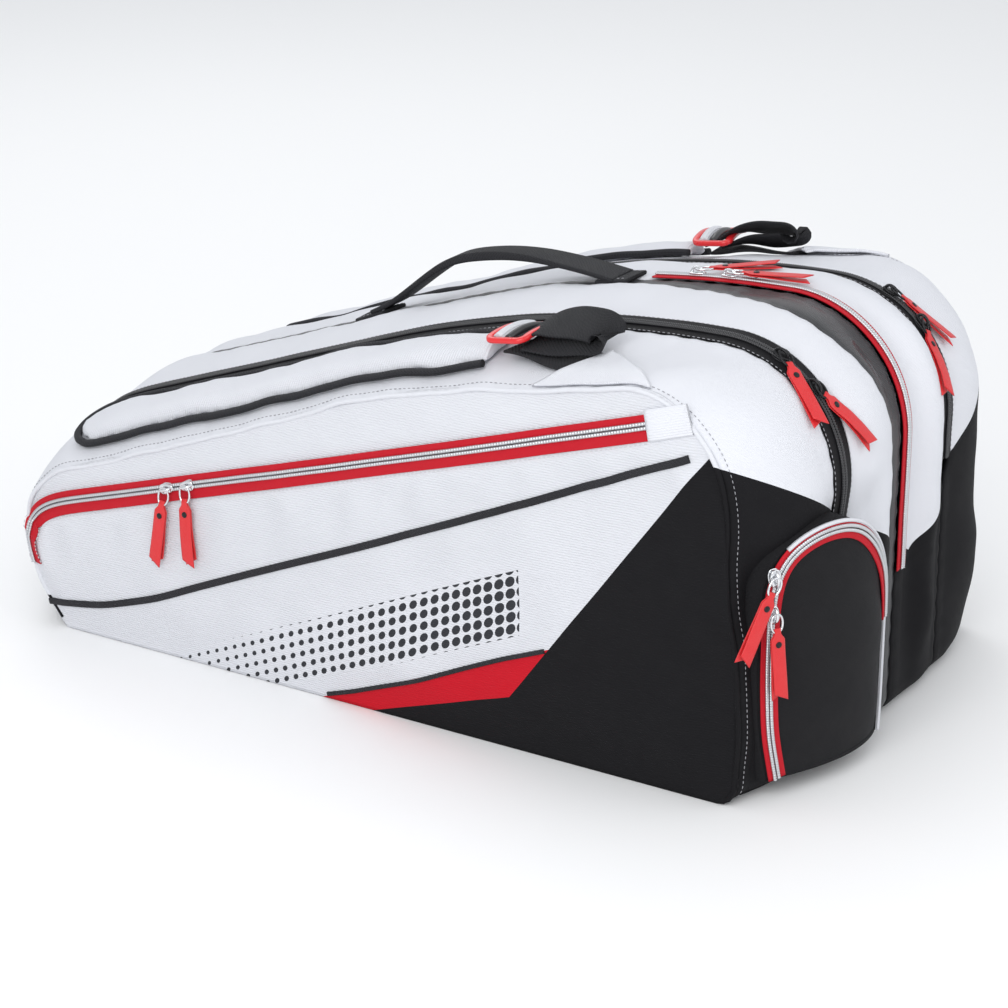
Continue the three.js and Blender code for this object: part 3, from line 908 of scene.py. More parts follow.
# a row of short stitches along a path, every one a little capsule
def stitches(name, line, offset, owner, look="stitch", lift=0.0003):
    pitch, length, radius = (stitchShape[key] for key in ("pitch", "length", "radius"))
    path, across, out = line
    run = runAlong(path)
    starts = np.arange(0.002, run[-1] - length, pitch)
    middle = path + across * offset + out * lift
    steps = np.array((0.0, 0.2, 0.8, 1.0)) * length
    sizes = np.array((0.35, 1.0, 1.0, 0.35)) * radius
    where = starts[:, None] + steps
    centers = threeAt(where, run, middle)
    side, up = unit(threeAt(where, run, across)), unit(threeAt(where, run, out))
    angles = np.arange(6) * math.pi / 3
    rings = centers[:, :, None] + sizes[:, None, None] * (
        side[:, :, None] * np.cos(angles)[:, None] + up[:, :, None] * np.sin(angles)[:, None])
    count = len(starts)
    base = np.arange(count)[:, None, None] * 24
    quads = (base + gridQuads(4, 6, closeColumns=True)[None]).reshape(-1, 4)
    ends = np.array([(0, 1, 2, 3), (0, 3, 4, 5), (21, 20, 19, 18), (23, 22, 21, 18)])
    quads = np.concatenate((quads, (base + ends[None]).reshape(-1, 4)))
    return hold(meshPiece(name, rings.reshape(-1, 3), quads, look), owner, "black_webbing")


# each main zip: its inner half rides on the bag, its outer half is baked where it lies
def addMainZips():
    run = np.linspace(runs["rimNose"] + 0.004, runs["rimHead"], 420)
    for name, side in bothSides:
        line = topPath(run, side * bagShape["zip"], -0.0006)
        right = 1 if line[1][200, 1] > 0 else -1
        for part, sign in (("inner", -side), ("outer", side)):
            owner = side if part == "outer" else "bag_body"
            turn = sign * right
            tape = ribbon(f"{name}_{part}_tape", line, 0.0062, zipShape["tape"], "blackTape", turn * 0.0066)
            hold(tape, owner, "black_zip", f"{name}_zip_{part}")
            hold(coilHalf(f"{name}_{part}_coil", line, turn, "blackCoil"), owner, "black_zip")
            stitches(f"{name}_{part}_zip_stitches", line, turn * 0.0122, owner, "stitch", lift=0.0008)


# the middle zip: both halves stay on the bag
def addMiddleZip():
    run = np.linspace(runs["middleZip"], runs["middleZipEnd"], 300)
    line = topPath(run, bagShape["middleZip"], 0.0004)
    right = 1 if line[1][100, 1] > 0 else -1
    for part, sign in (("near", -1), ("far", 1)):
        turn = sign * right
        tape = ribbon(f"middle_{part}_tape", line, 0.0042, zipShape["tape"], "redTape", turn * 0.0050)
        hold(tape, "bag_body", "silver_zip")
        coil = hold(coilHalf(f"middle_{part}_coil", line, turn, "coil"), "bag_body", "silver_zip")
        if part == "near":
            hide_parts("center_zip")


# the side zip's line: up along the nose edge, round the bend and straight to its far end
def sideZipLine():
    start, stop = sideZip["start"], sideZip["stop"]
    nose = [(-0.3655, 0.058), (-0.3690, 0.080), (-0.3660, 0.101), (-0.3520, 0.1135)]
    straight = [(x, sideZipHeight(x)) for x in np.linspace(start + 0.030, stop, 12)]
    return evenPath(nose + straight, 0.0030, 30)


# the side zip: tapes and coil halves ride on the flap, and a ribbed cover lies over its end
def addSideZip():
    line = sideZipLine()
    path = sidePath(line[:, 0], line[:, 1], -1, 0.0009)
    up = 1 if path[1][80, 2] > 0 else -1
    for part, sign, width in (("upper", 1, 0.0042), ("lower", -1, 0.0058)):
        turn = sign * up
        tape = ribbon(f"side_{part}_tape", path, width, zipShape["tape"], "redTape", turn * (width + 0.0004))
        hold(tape, "near_flap", "silver_zip")
        coil = hold(coilHalf(f"side_{part}_coil", path, turn, "coil", coarse=1.25), "near_flap", "silver_zip")
        if part == "upper":
            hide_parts("near_side_zip")
        stitches(f"side_{part}_zip_stitches", path, turn * (2 * width + 0.0022), "near_flap", "whiteStitch")
    end = np.linspace(0.0, 0.036, 12)
    x = sideZip["stop"] + end
    cover = sidePath(x, sideZipHeight(x), -1, 0.0012)
    hold(ribbon("side_zip_end", cover, 0.0125, 0.0030, "ribbed"), "near_flap", "white_fabric")


pipings = {
    "upper": ((-0.352, 0.022), (-0.341, 0.025), (-0.295, 0.031), (-0.237, 0.050), (-0.125, 0.099),
              (-0.020, 0.144), (0.079, 0.187), (0.183, 0.234), (0.262, 0.270), (0.300, 0.286)),
    "lower": ((-0.046, 0.004), (-0.020, 0.013), (0.052, 0.043), (0.135, 0.082), (0.174, 0.098)),
    "radius": 0.0021,
}


# pocket, hem and seam pipings of each side, with a row of stitches beside the seam
def addPipings():
    for name, side in bothSides:
        line = evenPath(pipings["upper"], 0.003, 60)
        band = sidePath(line[:, 0], line[:, 1], side, 0.0006)
        hold(ribbon(f"{name}_pocket_piping", band, 0.0032, 0.0034, "binding"), side, "black_fabric")
        low = evenPath(pipings["lower"], 0.003, 6)
        band = sidePath(low[:, 0], low[:, 1], side, 0.0005)
        hold(ribbon(f"{name}_hem_piping", band, 0.0020, 0.0026, "binding"), side, "black_fabric")
        run = np.linspace(0.010, totalRun - 0.012, 520)
        seam = topPath(run, side * (bagShape["halfWidth"] + 0.0006), -0.0014)
        piece = sweptPiece(f"{name}_seam_piping_cord", *seam, roundProfile(pipings["radius"], 10), "lobe")
        hold(piece, side, "black_fabric", f"{name}_seam_piping")
        beside = topPath(run, side * (bagShape["halfWidth"] - 0.006))
        stitches(f"{name}_seam_stitches", beside, 0.0, side, "stitch", 0.0001)


addMainZips()
addMiddleZip()
addSideZip()
addPipings()
print("zips and pipings are in")


# straps, buckles and webbing

strapShape = {
    "start": -0.350, "stop": 0.104, "y": 0.165, "half": 0.031, "height": 0.0105, "binding": 0.0036,
    "bindingHeight": 0.0062, "inset": 0.0030,
}


# the strap's plan: full width, rounded at the handle end and drawn in a little towards the buckle
def strapHalf(x):
    s = strapShape
    start = np.sqrt(np.clip(1 - ((s["start"] + 0.022 - x) / 0.022).clip(0, 1) ** 2, 0, 1))
    waist = 1 - 0.22 * smoothStep(x, s["stop"] - 0.050, s["stop"])
    return s["half"] * (0.35 + 0.65 * start) * waist


stuffing = {"voxel": 0.005, "pressure": 4.0, "frames": 20, "cap": 0.0009}


# stuffing: a voxel copy of the piece swells as a cloth under pressure; no point moves further than the cap
def stuffed(piece):
    remesh = piece.modifiers.new("voxels", "REMESH")
    remesh.mode = "VOXEL"
    remesh.voxel_size = stuffing["voxel"]
    remesh.use_smooth_shade = True
    settle(piece)
    count = len(piece.data.vertices) * 3
    rest, swollen = np.empty(count), np.empty(count)
    piece.data.vertices.foreach_get("co", rest)
    cloth = piece.modifiers.new("cloth", "CLOTH")
    cloth.settings.use_pressure = True
    cloth.settings.uniform_pressure_force = stuffing["pressure"]
    cloth.settings.effector_weights.gravity = 0.0
    scene = bpy.context.scene
    for number in range(1, stuffing["frames"] + 1):
        scene.frame_set(number)
    settle(piece)
    scene.frame_set(1)
    piece.data.vertices.foreach_get("co", swollen)
    moved = (swollen - rest).reshape(-1, 3)
    size = np.maximum(np.linalg.norm(moved, axis=1, keepdims=True), 1e-9)
    moved = moved * np.minimum(1.0, stuffing["cap"] / size)
    piece.data.vertices.foreach_set("co", (rest.reshape(-1, 3) + moved).ravel())
    piece.data.update()
    smoother = piece.modifiers.new("smooth", "SUBSURF")
    smoother.levels = smoother.render_levels = 1
    return piece


# the mesh as its modifiers leave it becomes the piece's own mesh
def settle(piece):
    graph = bpy.context.evaluated_depsgraph_get()
    graph.update()
    mesh = bpy.data.meshes.new_from_object(piece.evaluated_get(graph))
    piece.modifiers.clear()
    piece.data = mesh


# the pad: across it, its height is a flattened dome, 1 - |t| to the power 4, with a sewn channel along its
# edges
def addStraps():
    s = strapShape
    x = np.linspace(s["start"], s["stop"], 130)
    t = np.linspace(-1, 1, 25)
    run = runAtX(x)
    for name, side in bothSides:
        half = (strapHalf(x) - s["inset"])[:, None]
        y = side * s["y"] + half * t
        rise = (0.55 + 0.45 * smoothStep(x, s["start"], s["start"] + 0.05))[:, None]
        dome = s["height"] * (1 - np.abs(t) ** 4) * rise
        channel = -0.0016 * bell(np.abs(t) - 0.80, 0.05)
        wrinkle = 0.0007 * ripple(x[:, None] + 0.012 * t, 0.031) * (1 - np.abs(t)) * np.sin(9 * x[:, None])
        grid = np.repeat(run[:, None], 25, 1)
        top, _ = bagSurface(grid, y, dome + channel + wrinkle + 0.0022)
        bottom, _ = bagSurface(grid, y, 0.0012)
        loop = np.concatenate((top, bottom[:, -2:0:-1]), 1)
        points, quads = cappedMesh(loop)
        quads = outwardQuads(points, quads)
        pad = stuffed(meshPiece(name + "_strap", points, quads, "ribbedStrap"))
        hold(pad, name + "_strap_body", "white_fabric", name + "_strap_pad", name + "_strap_cover")
        edgeX = np.concatenate((x[::-1], x))
        edgeY = side * s["y"] + np.concatenate((-strapHalf(x[::-1]), strapHalf(x)))
        plan = evenPath(np.stack((edgeX, edgeY), -1), 0.003, 8)
        path, normal = bagSurface(runAtX(plan[:, 0]), plan[:, 1], 0.0050)
        rim = framed(path, normal)
        binding = ribbon(name + "_strap_binding", rim, s["binding"], s["bindingHeight"], "binding")
        hold(binding, name + "_strap_body", "black_webbing")


# the bars: how far each is moved along the buckle, its radius and its finish
buckleShape = {
    "halfLength": 0.0165, "halfWidth": 0.0245, "tilt": 8.0,
    "bars": {"middle_bar": (0.001, 0.0034, "blackPlastic"), "loop": (-0.0085, 0.0046, "white")},
}


# a three-bar slider: a rounded rectangle of bar with a middle bar, turned and tilted on the strap's end
def addBuckles():
    b = buckleShape
    for name, side in bothSides:
        low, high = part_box(name + "_buckle")
        middle = (np.array(low) + np.array(high)) / 2
        corner = roundedProfile(b["halfLength"], b["halfWidth"], 0.0060, 8)
        plan = np.concatenate((corner, corner[:1]))
        plan = evenPath(plan, 0.0012)[:-1]
        lean = math.radians(b["tilt"])
        skew = plan[:, 1] * side * -0.16
        flat = np.stack((plan[:, 0] + skew, plan[:, 1], 0 * plan[:, 0]), -1)
        turnX = np.array((math.cos(lean), 0, math.sin(lean)))
        turnZ = np.array((-math.sin(lean), 0, math.cos(lean)))
        sag = 0.0035 * (1 - (plan[:, 1] / b["halfWidth"]) ** 2)
        path = middle + flat[:, :1] * turnX + flat[:, 1:2] * (0, 1, 0) + (sag[:, None] + 0.004) * turnZ
        tangent = unit(np.roll(path, -1, 0) - np.roll(path, 1, 0))
        across = unit(np.cross(turnZ, tangent))
        profile = roundedProfile(0.0032, 0.0024, 0.0016, 3)
        rings = sweptPoints(path, across, np.broadcast_to(turnZ, path.shape), profile)
        quads = gridQuads(*rings.shape[:2], closeRows=True, closeColumns=True)
        points = rings.reshape(-1, 3)
        ring = meshPiece(name + "_buckle_frame", points, outwardQuads(points, quads), "redPlastic")
        hold(ring, name + "_strap_body", "red_plastic", name + "_buckle")
        t = np.linspace(-1, 1, 17)[:, None]
        for part, (shift, radius, look) in b["bars"].items():
            bar = middle + turnX * (shift - side * 0.16 * t * b["halfWidth"] * 0.86)
            bar = bar + t * b["halfWidth"] * 0.86 * np.array((0, 1, 0))
            bar = bar + turnZ * (0.0035 * (1 - t ** 2) + 0.0042)
            line = framed(bar, np.broadcast_to(turnZ, bar.shape))
            piece = sweptPiece(f"{name}_buckle_{part}", *line, roundProfile(radius, 14), look)
            hold(piece, name + "_strap_body", "red_plastic")


webbingShape = {"half": 0.018, "thickness": 0.0024, "bend": (0.132, 0.196), "y": 0.165, "z": 0.330}


# the loose webbing: under the buckle, up over a fold, back and down to the tab, baked where it lies
def addWebbing():
    w = webbingShape
    for name, side in bothSides:
        lower = [(0.122, 0.168, 0.0070), (0.150, 0.171, 0.0050), (0.175, 0.176, 0.0024),
                 (0.205, 0.182, 0.0012)]
        upper = [(0.122, 0.162, 0.0140), (0.150, 0.158, 0.0215), (0.175, 0.158, 0.0240),
                 (0.200, 0.160, 0.0230), (0.2075, 0.161, 0.0190), (0.203, 0.163, 0.0145),
                 (0.180, 0.166, 0.0125), (0.136, 0.168, 0.0100)]
        for part, nodes in (("tail", upper), ("strap_end", lower)):
            points = evenPath(nodes, 0.0016, 14)
            path, normal = bagSurface(runAtX(points[:, 0]), side * points[:, 1], 0.0)
            line = framed(path + normal * points[:, 2:3], normal)
            lean = smoothStep(points[:, 0], 0.122, 0.175) * (0.62 if part == "tail" else 0.27)
            sideways = unit(np.stack((-0.35 * lean, side + 0 * lean, -lean), -1))
            tangent = unit(np.gradient(line[0], axis=0))
            out = unit(np.cross(tangent, sideways))
            profile = roundedProfile(w["half"], w["thickness"] / 2, w["thickness"] * 0.42)
            across = np.cross(out, tangent)
            piece = sweptPiece(f"{name}_webbing_{part}", line[0], across, out, profile, "webbing")
            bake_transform(piece)
            if part == "tail":
                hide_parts(name + "_webbing")
        addTab(name, side)


# the sewn tab: a triangle from its seam on the shoulder to a blunt point, as rows that narrow towards the
# point
def addTab(name, side):
    v = np.linspace(0, 1, 26)[:, None]
    t = np.linspace(0, 1, 30)[None]
    left = np.array((0.176, 0.2135)) + v * (np.array((0.208, 0.166)) - (0.176, 0.2135))
    right = np.array((0.290, 0.2135)) + v * (np.array((0.214, 0.164)) - (0.290, 0.2135))
    plan = left[:, None] + (right - left)[:, None] * t.T[None]
    edge = np.minimum(np.minimum(v, 1 - v), np.minimum(t, 1 - t) * 2) + 0 * t
    lift = 0.0030 + 0.0024 * smoothStep(v, 0.05, 0.4) + 0.0020 * np.exp(-((t - 0.4) ** 2) / 0.05) * v
    lift = lift + 0.0008 * smoothStep(edge, 0, 0.12)
    points, _ = bagSurface(runAtX(plan[..., 0]), side * plan[..., 1], lift)
    uv = np.stack((v * 0.06 + 0 * t, plan[..., 0]), -1)
    piece = sheetPiece(name + "_tab", points, uv, "ribbed", 0.0024, None, side)
    hold(piece, name + "_flap", "white_fabric", name + "_webbing_tab")


# strap cloth: ribs across it every few millimetres, and weave between them
def ribbedStrapLook():
    look = Look("ribbed_strap")
    x, y, _ = look.split(look.place())
    ribs = look.wave(x, 0.0024)
    look.bump(ribs * 0.8 + look.wave(y, 0.0011) * 0.2 + look.noise(900.0) * 0.4, 0.00035)
    tone = shaded(look, clothColors["white"])
    return look.finish(tone, look.noise(60.0) * 0.12 + 0.66, Specular_IOR_Level=0.25)


looks["ribbedStrap"] = ribbedStrapLook()
addStraps()
addBuckles()
addWebbing()
print("straps are on")


# carry handle

handleShape = {"half": 0.018, "thickness": 0.0042, "patch": 0.0034, "stitches": 0.0145}


# the arch rises from both feet, runs over as a low curve and is folded narrower and thicker in its middle; it
# is baked where it lies, while the foot patches ride on the bag
def addHandle():
    h = handleShape
    _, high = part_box("carry_handle")
    rearFoot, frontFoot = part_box("handle_foot_rear"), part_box("handle_foot_front")
    rear = np.array((rearFoot[1][0], rearFoot[1][2] + 0.0005))
    front = np.array((frontFoot[0][0], frontFoot[0][2] + 0.0040))
    top = high[2] - 0.0135
    span = front[0] - rear[0]
    arch = [(rear[0] + share * span, top + rise)
            for share, rise in ((0.30, -0.014), (0.55, -0.002), (0.74, 0.001), (0.88, -0.002))]
    nodes = [rear + (-0.014, -0.0046), rear + (0.002, 0.0020), rear + (0.022, 0.020), *arch,
             front + (-0.010, 0.0060), front + (0.003, 0.0006), front + (0.016, 0.0008)]
    side = evenPath(nodes, 0.0030, 60)
    t = np.linspace(0, 1, len(side))
    path = np.stack((side[:, 0], 0.0012 * np.sin(5 * t), side[:, 1]), -1)
    tangent = unit(np.gradient(path, axis=0))
    across = np.broadcast_to(np.array((0.0, 1.0, 0.0)), path.shape)
    out = unit(np.cross(tangent, across))
    fold = np.sin(math.pi * t) ** 4
    profile = roundedProfile(h["half"], h["thickness"] / 2, 0.0018, 4)
    profiles = profile[None] * np.stack((1 - 0.34 * fold, 1 + 0.9 * fold), -1)[:, None]
    piece = sweptPiece("handle_webbing", path, np.cross(out, tangent), out, profiles, "webbing")
    foot = np.array((rear[0], 0, rear[1]))
    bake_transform(piece)
    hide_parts("carry_handle")
    for name in ("rear", "front"):
        footLow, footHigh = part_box("handle_foot_" + name)
        x = np.linspace(footLow[0] - 0.001, footHigh[0] + 0.001, 24)
        line = topPath(runAtX(x), -0.0008 + 0 * x, 0.0020)
        foot = ribbon("handle_foot_patch_" + name, line, h["half"], h["patch"], "webbing")
        hold(foot, "bag_body", "black_webbing", "handle_foot_" + name)
        for label, turn in bothSides:
            stitches(f"handle_{name}_stitches_{label}", line, turn * h["stitches"], "bag_body", lift=0.0020)


addHandle()
print("handle is on")


# end pocket

pocketShape = {
    "arch": ((-0.192, 0.018), (-0.1995, 0.060), (-0.2015, 0.110), (-0.2015, 0.160), (-0.1985, 0.192),
             (-0.186, 0.215), (-0.160, 0.2275), (-0.132, 0.2285), (-0.108, 0.219), (-0.084, 0.196),
             (-0.062, 0.166), (-0.0495, 0.130), (-0.048, 0.095), (-0.052, 0.060), (-0.060, 0.018)),
    "plan": ((0.358, -0.203), (0.427, -0.100), (0.387, -0.038)),
    "center": (-0.120, 0.105), "dome": 0.0085, "panel": 0.0035, "wall": 0.003, "back": 0.335, "tape": 0.0016,
}


# the pocket's front in plan: a quadratic curve of y
def pocketFront(y):
    first, bend, last = (np.array(point) for point in pocketShape["plan"])
    t = np.linspace(0, 1, 60)[:, None]
    curve = (1 - t) ** 2 * first + 2 * t * (1 - t) * bend + t ** 2 * last
    return np.interp(y, curve[:, 1], curve[:, 0])


# the face: rings that shrink from the arch to the middle and rise as 1 - r cubed; the wall runs back from
# its edge
def addEndPocket():
    arch = evenPath(pocketShape["arch"], 0.003, 40)
    across = np.linspace(0, 1, 40)[1:-1, None]
    closing = arch[-1] + (arch[0] - arch[-1]) * across
    ring = np.concatenate((arch, closing))
    ring = ring[:len(ring) // 2 * 2]
    r = np.linspace(0.02, 1, 34)[:, None, None]
    plan = np.array(pocketShape["center"]) + (ring - pocketShape["center"])[None] * r
    swell = pocketShape["dome"] * (1 - r[..., 0] ** 3) - 0.002
    crease = 0.0012 * ripple(plan[..., 1] + 0.4 * plan[..., 0], 0.068) * (1 - r[..., 0] ** 4)
    x = pocketFront(plan[..., 0]) + swell * 0.55 + crease - 0.0048
    face = np.stack((x, plan[..., 0], plan[..., 1]), -1)
    rows, columns = face.shape[:2]
    c = np.arange(0, columns, 2)
    fan = np.stack((np.full_like(c, rows * columns), (c + 2) % columns, c + 1, c), -1)
    points = np.concatenate((face.reshape(-1, 3), face[0].mean(0)[None]))
    quads = np.concatenate((gridQuads(rows, columns, closeColumns=True), fan[:, ::-1]))
    a, b, d = (points[quads[400, k]] for k in (0, 1, 3))
    if np.cross(b - a, d - a)[0] < 0:
        quads = quads[:, ::-1]
    panel = meshPiece("end_pocket_panel", points, quads, "black", points[:, 1:])
    thicken(panel, pocketShape["panel"])
    hold(panel, "end_flap", "black_fabric", "end_pocket_flap")
    depth = np.linspace(0, 1, 12)[:, None]
    back = pocketShape["back"] + 0 * ring[:, 0]
    front = pocketFront(ring[:, 0]) - 0.0050
    bow = 0.0022 * np.sin(math.pi * depth)
    outward = unit(ring - pocketShape["center"])
    wallX = front + (back - front) * depth
    height = np.maximum(ring[:, 1] + outward[:, 1] * bow, 0.003)
    wall = np.stack((wallX, ring[:, 0] + outward[:, 0] * bow, height), -1)
    quads = gridQuads(12, len(ring), closeColumns=True)
    a, b, d = wall[5, 20], wall[6, 20], wall[5, 21]
    normal = np.cross(b - a, d - a)
    if normal[1] * outward[20, 0] + normal[2] * outward[20, 1] < 0:
        quads = quads[:, ::-1]
    around = np.broadcast_to(np.arange(len(ring)) * 0.003, wall.shape[:2])
    shell = meshPiece("end_pocket_wall", wall, quads, "black", np.stack((wall[..., 0], around), -1))
    thicken(shell, pocketShape["wall"])
    hold(shell, "bag_body", "black_fabric", "end_pocket_shell")
    addPocketZip(arch)


# the zip runs up the leg and over the arch, a little inside its edge; past the shoulder thin piping goes on
def addPocketZip(arch):
    run = runAlong(arch)
    tangent = unit(np.gradient(arch, axis=0))
    inward = np.stack((tangent[:, 1], -tangent[:, 0]), -1)
    share = run / run[-1]
    zipEnd = int(np.searchsorted(share, 0.80))

    def onFront(plan, lift):
        x = pocketFront(plan[:, 0]) + lift
        slope = (pocketFront(plan[:, 0] + 0.002) - pocketFront(plan[:, 0] - 0.002)) / 0.004
        normal = unit(np.stack((1 + 0 * slope, -slope, 0 * slope), -1))
        return framed(np.stack((x, plan[:, 0], plan[:, 1]), -1), normal)
    line = onFront((arch + inward * 0.0062)[:zipEnd], -0.0030)
    turnIn = 1 if (line[1][40, 1] > 0) else -1
    for part, width, offset in (("inner", 0.0042, 0.0046), ("outer", 0.0034, -0.0036)):
        tape = ribbon(f"end_pocket_{part}_tape", line, width, pocketShape["tape"], "redTape", turnIn * offset)
        hold(tape, "end_flap", "silver_zip")
    for index, turn in enumerate((-1, 1)):
        coil = hold(coilHalf(f"end_pocket_coil_{index + 1}", line, turn, "coil"), "end_flap", "silver_zip")
        if index:
            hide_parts("end_pocket_zip")
    edge = onFront((arch + inward * 0.0004)[int(len(arch) * 0.40):], -0.0030)
    hold(ribbon("end_pocket_piping", edge, 0.0017, 0.0036, "white"), "bag_body", "white_fabric")


addEndPocket()
print("end pocket is on")


# zip sliders and pulls

sliderShape = {
    "length": 0.0150, "width": 0.0098, "plate": 0.0013, "gap": 0.0024, "wire": 0.00095, "bridge": 0.0032,
    "rise": 0.0069,
}
pullShape = {
    "length": 0.0565, "half": 0.0060, "neck": 0.0028, "thickness": 0.0026, "loop": 0.0150, "slant": 0.0034,
    "clear": 0.0032, "sideClear": 0.0062,
}


# a CAD node's points as rows of x, y, z
def nodePoints(name):
    node = frame["nodes"][name]
    points = np.empty(len(node.data.vertices) * 3)
    node.data.vertices.foreach_get("co", points)
    return points.reshape(-1, 3)


# the joint of that name
def jointNamed(name):
    return next(joint for joint in frame["joints"] if joint["name"] == name)


# a plate of the slider: wide shoulders, a waist and a narrow heel, domed on top, as rings that shrink inwards
def sliderPlate(zMiddle, thickness, s):
    t = np.linspace(0, 2 * math.pi, 40, endpoint=False)
    x = s["length"] / 2 * np.sign(np.cos(t)) * np.abs(np.cos(t)) ** 0.75
    half = s["width"] / 2 * (1 - 0.28 * smoothStep(-x, -0.003, 0.007))
    y = half * np.sign(np.sin(t)) * np.abs(np.sin(t)) ** 0.65
    levels = ((0.90, -1.0), (1.0, -0.5), (1.0, 0.5), (0.90, 1.0), (0.55, 1.35))
    return np.stack([np.stack((x * k, y * k, 0 * x + zMiddle + thickness / 2 * h), -1) for k, h in levels])


# a capped round tube along a smoothed line
def tubeAlong(points, radius, sides=10):
    path = evenPath(points, radius * 0.7, 8)
    normal = np.cross(unit(np.gradient(path, axis=0)), (0.3, 0.91, 0.27))
    path, across, out = framed(path, unit(normal))
    return cappedMesh(sweptPoints(path, across, out, roundProfile(radius, sides)))


# several closed meshes as one, each turned outwards first
def joined(parts):
    points, quads, start = [], [], 0
    for partPoints, partQuads in parts:
        points.append(partPoints)
        quads.append(outwardQuads(partPoints, partQuads) + start)
        start += len(partPoints)
    return np.concatenate(points), np.concatenate(quads)


# a slider: two plates joined by a post at the front, and a bridge bent over the top one for the loop
def sliderMesh():
    s = sliderShape
    parts = [cappedMesh(sliderPlate(z, s["plate"], s)) for z in (0.0, s["gap"] + s["plate"])]
    top = s["gap"] + 1.6 * s["plate"]
    post = [(0.0045, 0, 0.0), (0.0045, 0, s["gap"] / 2), (0.0045, 0, s["gap"] + s["plate"])]
    parts.append(tubeAlong(post, 0.0016))
    bridge = [(-0.0056, 0, top - 0.001), (-0.0055, 0, top + 0.0016), (-0.0040, 0, top + s["bridge"]),
              (0.0, 0, top + s["bridge"] + 0.0008), (0.0040, 0, top + s["bridge"]),
              (0.0055, 0, top + 0.0014), (0.0058, 0, top - 0.001)]
    parts.append(tubeAlong(bridge, 0.0013))
    return joined(parts)


# a wire loop in the plane of the pull: a half circle round the bridge, two legs and a bar in the leather's
# eye
def loopMesh():
    p, w = pullShape, sliderShape["wire"]
    t = np.linspace(0, 2 * math.pi, 44, endpoint=False)
    x = p["loop"] / 2 - 0.0015 - (p["loop"] / 2) * np.cos(t)
    y = 0.0052 * np.sign(np.sin(t)) * np.abs(np.sin(t)) ** 0.8
    path = np.stack((x, y, 0 * x), -1)
    tangent = unit(np.roll(path, -1, 0) - np.roll(path, 1, 0))
    out = np.broadcast_to(np.array((0.0, 0.0, 1.0)), path.shape)
    rings = sweptPoints(path, np.cross(out, tangent), out, roundProfile(w, 8))
    return rings.reshape(-1, 3), gridQuads(*rings.shape[:2], closeRows=True, closeColumns=True)


# leather: a neck that flares to the full width and ends in a slanted cut, as rings of a rounded section; its
# two tongues, one on each side of the wire, part a little towards the end
def leatherMesh():
    p = pullShape
    parts = []
    for face in (-1, 1):
        t = np.linspace(0, 1, 46)
        half = p["neck"] + (p["half"] - p["neck"]) * smoothStep(t, 0.05, 0.16)
        profile = roundedProfile(1.0, 1.0, 0.6, 3)
        y = profile[None, :, 0] * half[:, None]
        slant = p["slant"] * (y / p["half"]) * smoothStep(t, 0.5, 1.0)[:, None] * face
        x = p["loop"] - 0.0038 + p["length"] * t[:, None] + slant
        spread = 0.0002 + 0.0013 * smoothStep(t, 0.2, 1.0)
        thick = p["thickness"] / 4 * (1 - 0.15 * smoothStep(t, 0.97, 1.0))
        z = face * (p["thickness"] / 4 + spread[:, None]) + profile[None, :, 1] * thick[:, None]
        parts.append(cappedMesh(np.stack((x, y, z), -1)))
    wrap = [(p["loop"] - 0.0030, 0, -0.0009), (p["loop"] - 0.0048, 0, 0.0), (p["loop"] - 0.0030, 0, 0.0009)]
    path = evenPath(wrap, 0.0003, 6)
    tangent = unit(np.gradient(path, axis=0))
    across = np.broadcast_to(np.array((0.0, 1.0, 0.0)), path.shape)
    section = roundedProfile(p["neck"], 0.0006, 0.0004)
    parts.append(cappedMesh(sweptPoints(path, across, np.cross(tangent, across), section)))
    return joined(parts)


# a domed rivet through both tongues: rings of a circle that close at the top
def rivetMesh():
    angles = np.arange(20) * (2 * math.pi / 20)
    levels = ((0.0022, -0.0022), (0.0026, -0.0019), (0.0026, 0.0019), (0.0022, 0.0026), (0.0012, 0.0031))
    x, y = np.cos(angles), np.sin(angles)
    rings = [np.stack((r * x + pullShape["loop"] + 0.0085, r * y, 0 * angles + z), -1) for r, z in levels]
    return cappedMesh(np.stack(rings))


sliderFinish = {"near": ("blackMetal", "black_metal"), "far": ("blackMetal", "black_metal")}


# a mesh whose x, y and z are laid along three axes from an origin
def placed(mesh, origin, axes):
    points, quads = mesh
    moved = points @ np.stack(axes) + origin
    return moved, outwardQuads(moved, quads)


# samples of the cloth with their outward normals, round a point
def clothNear(spot):
    if spot.startswith("side"):
        x, z = np.meshgrid(np.linspace(-0.26, -0.14, 60), np.linspace(0.07, 0.20, 66), indexing="ij")
        line = sidePoint(x, z, -1)
        normal = np.broadcast_to(np.array((0.0, -1.0, 0.0)), line.shape)
    elif spot.startswith("end"):
        y, z = np.meshgrid(np.linspace(-0.20, -0.14, 30), np.linspace(0.07, 0.22, 60), indexing="ij")
        line = np.stack((pocketFront(y) + 0.001, y, z), -1)
        normal = np.broadcast_to(unit(np.array((1.0, -0.5, 0.0))), line.shape)
    else:
        middle = {"near": -0.1, "far": 0.1}.get(spot.split("_")[0], 0.030)
        run = np.linspace(runs["middleZip"], totalRun - 0.15, 130)
        run, y = np.meshgrid(run, middle + np.linspace(-0.05, 0.05, 40), indexing="ij")
        line, normal = bagSurface(run, y)
    return line.reshape(-1, 3), normal.reshape(-1, 3)


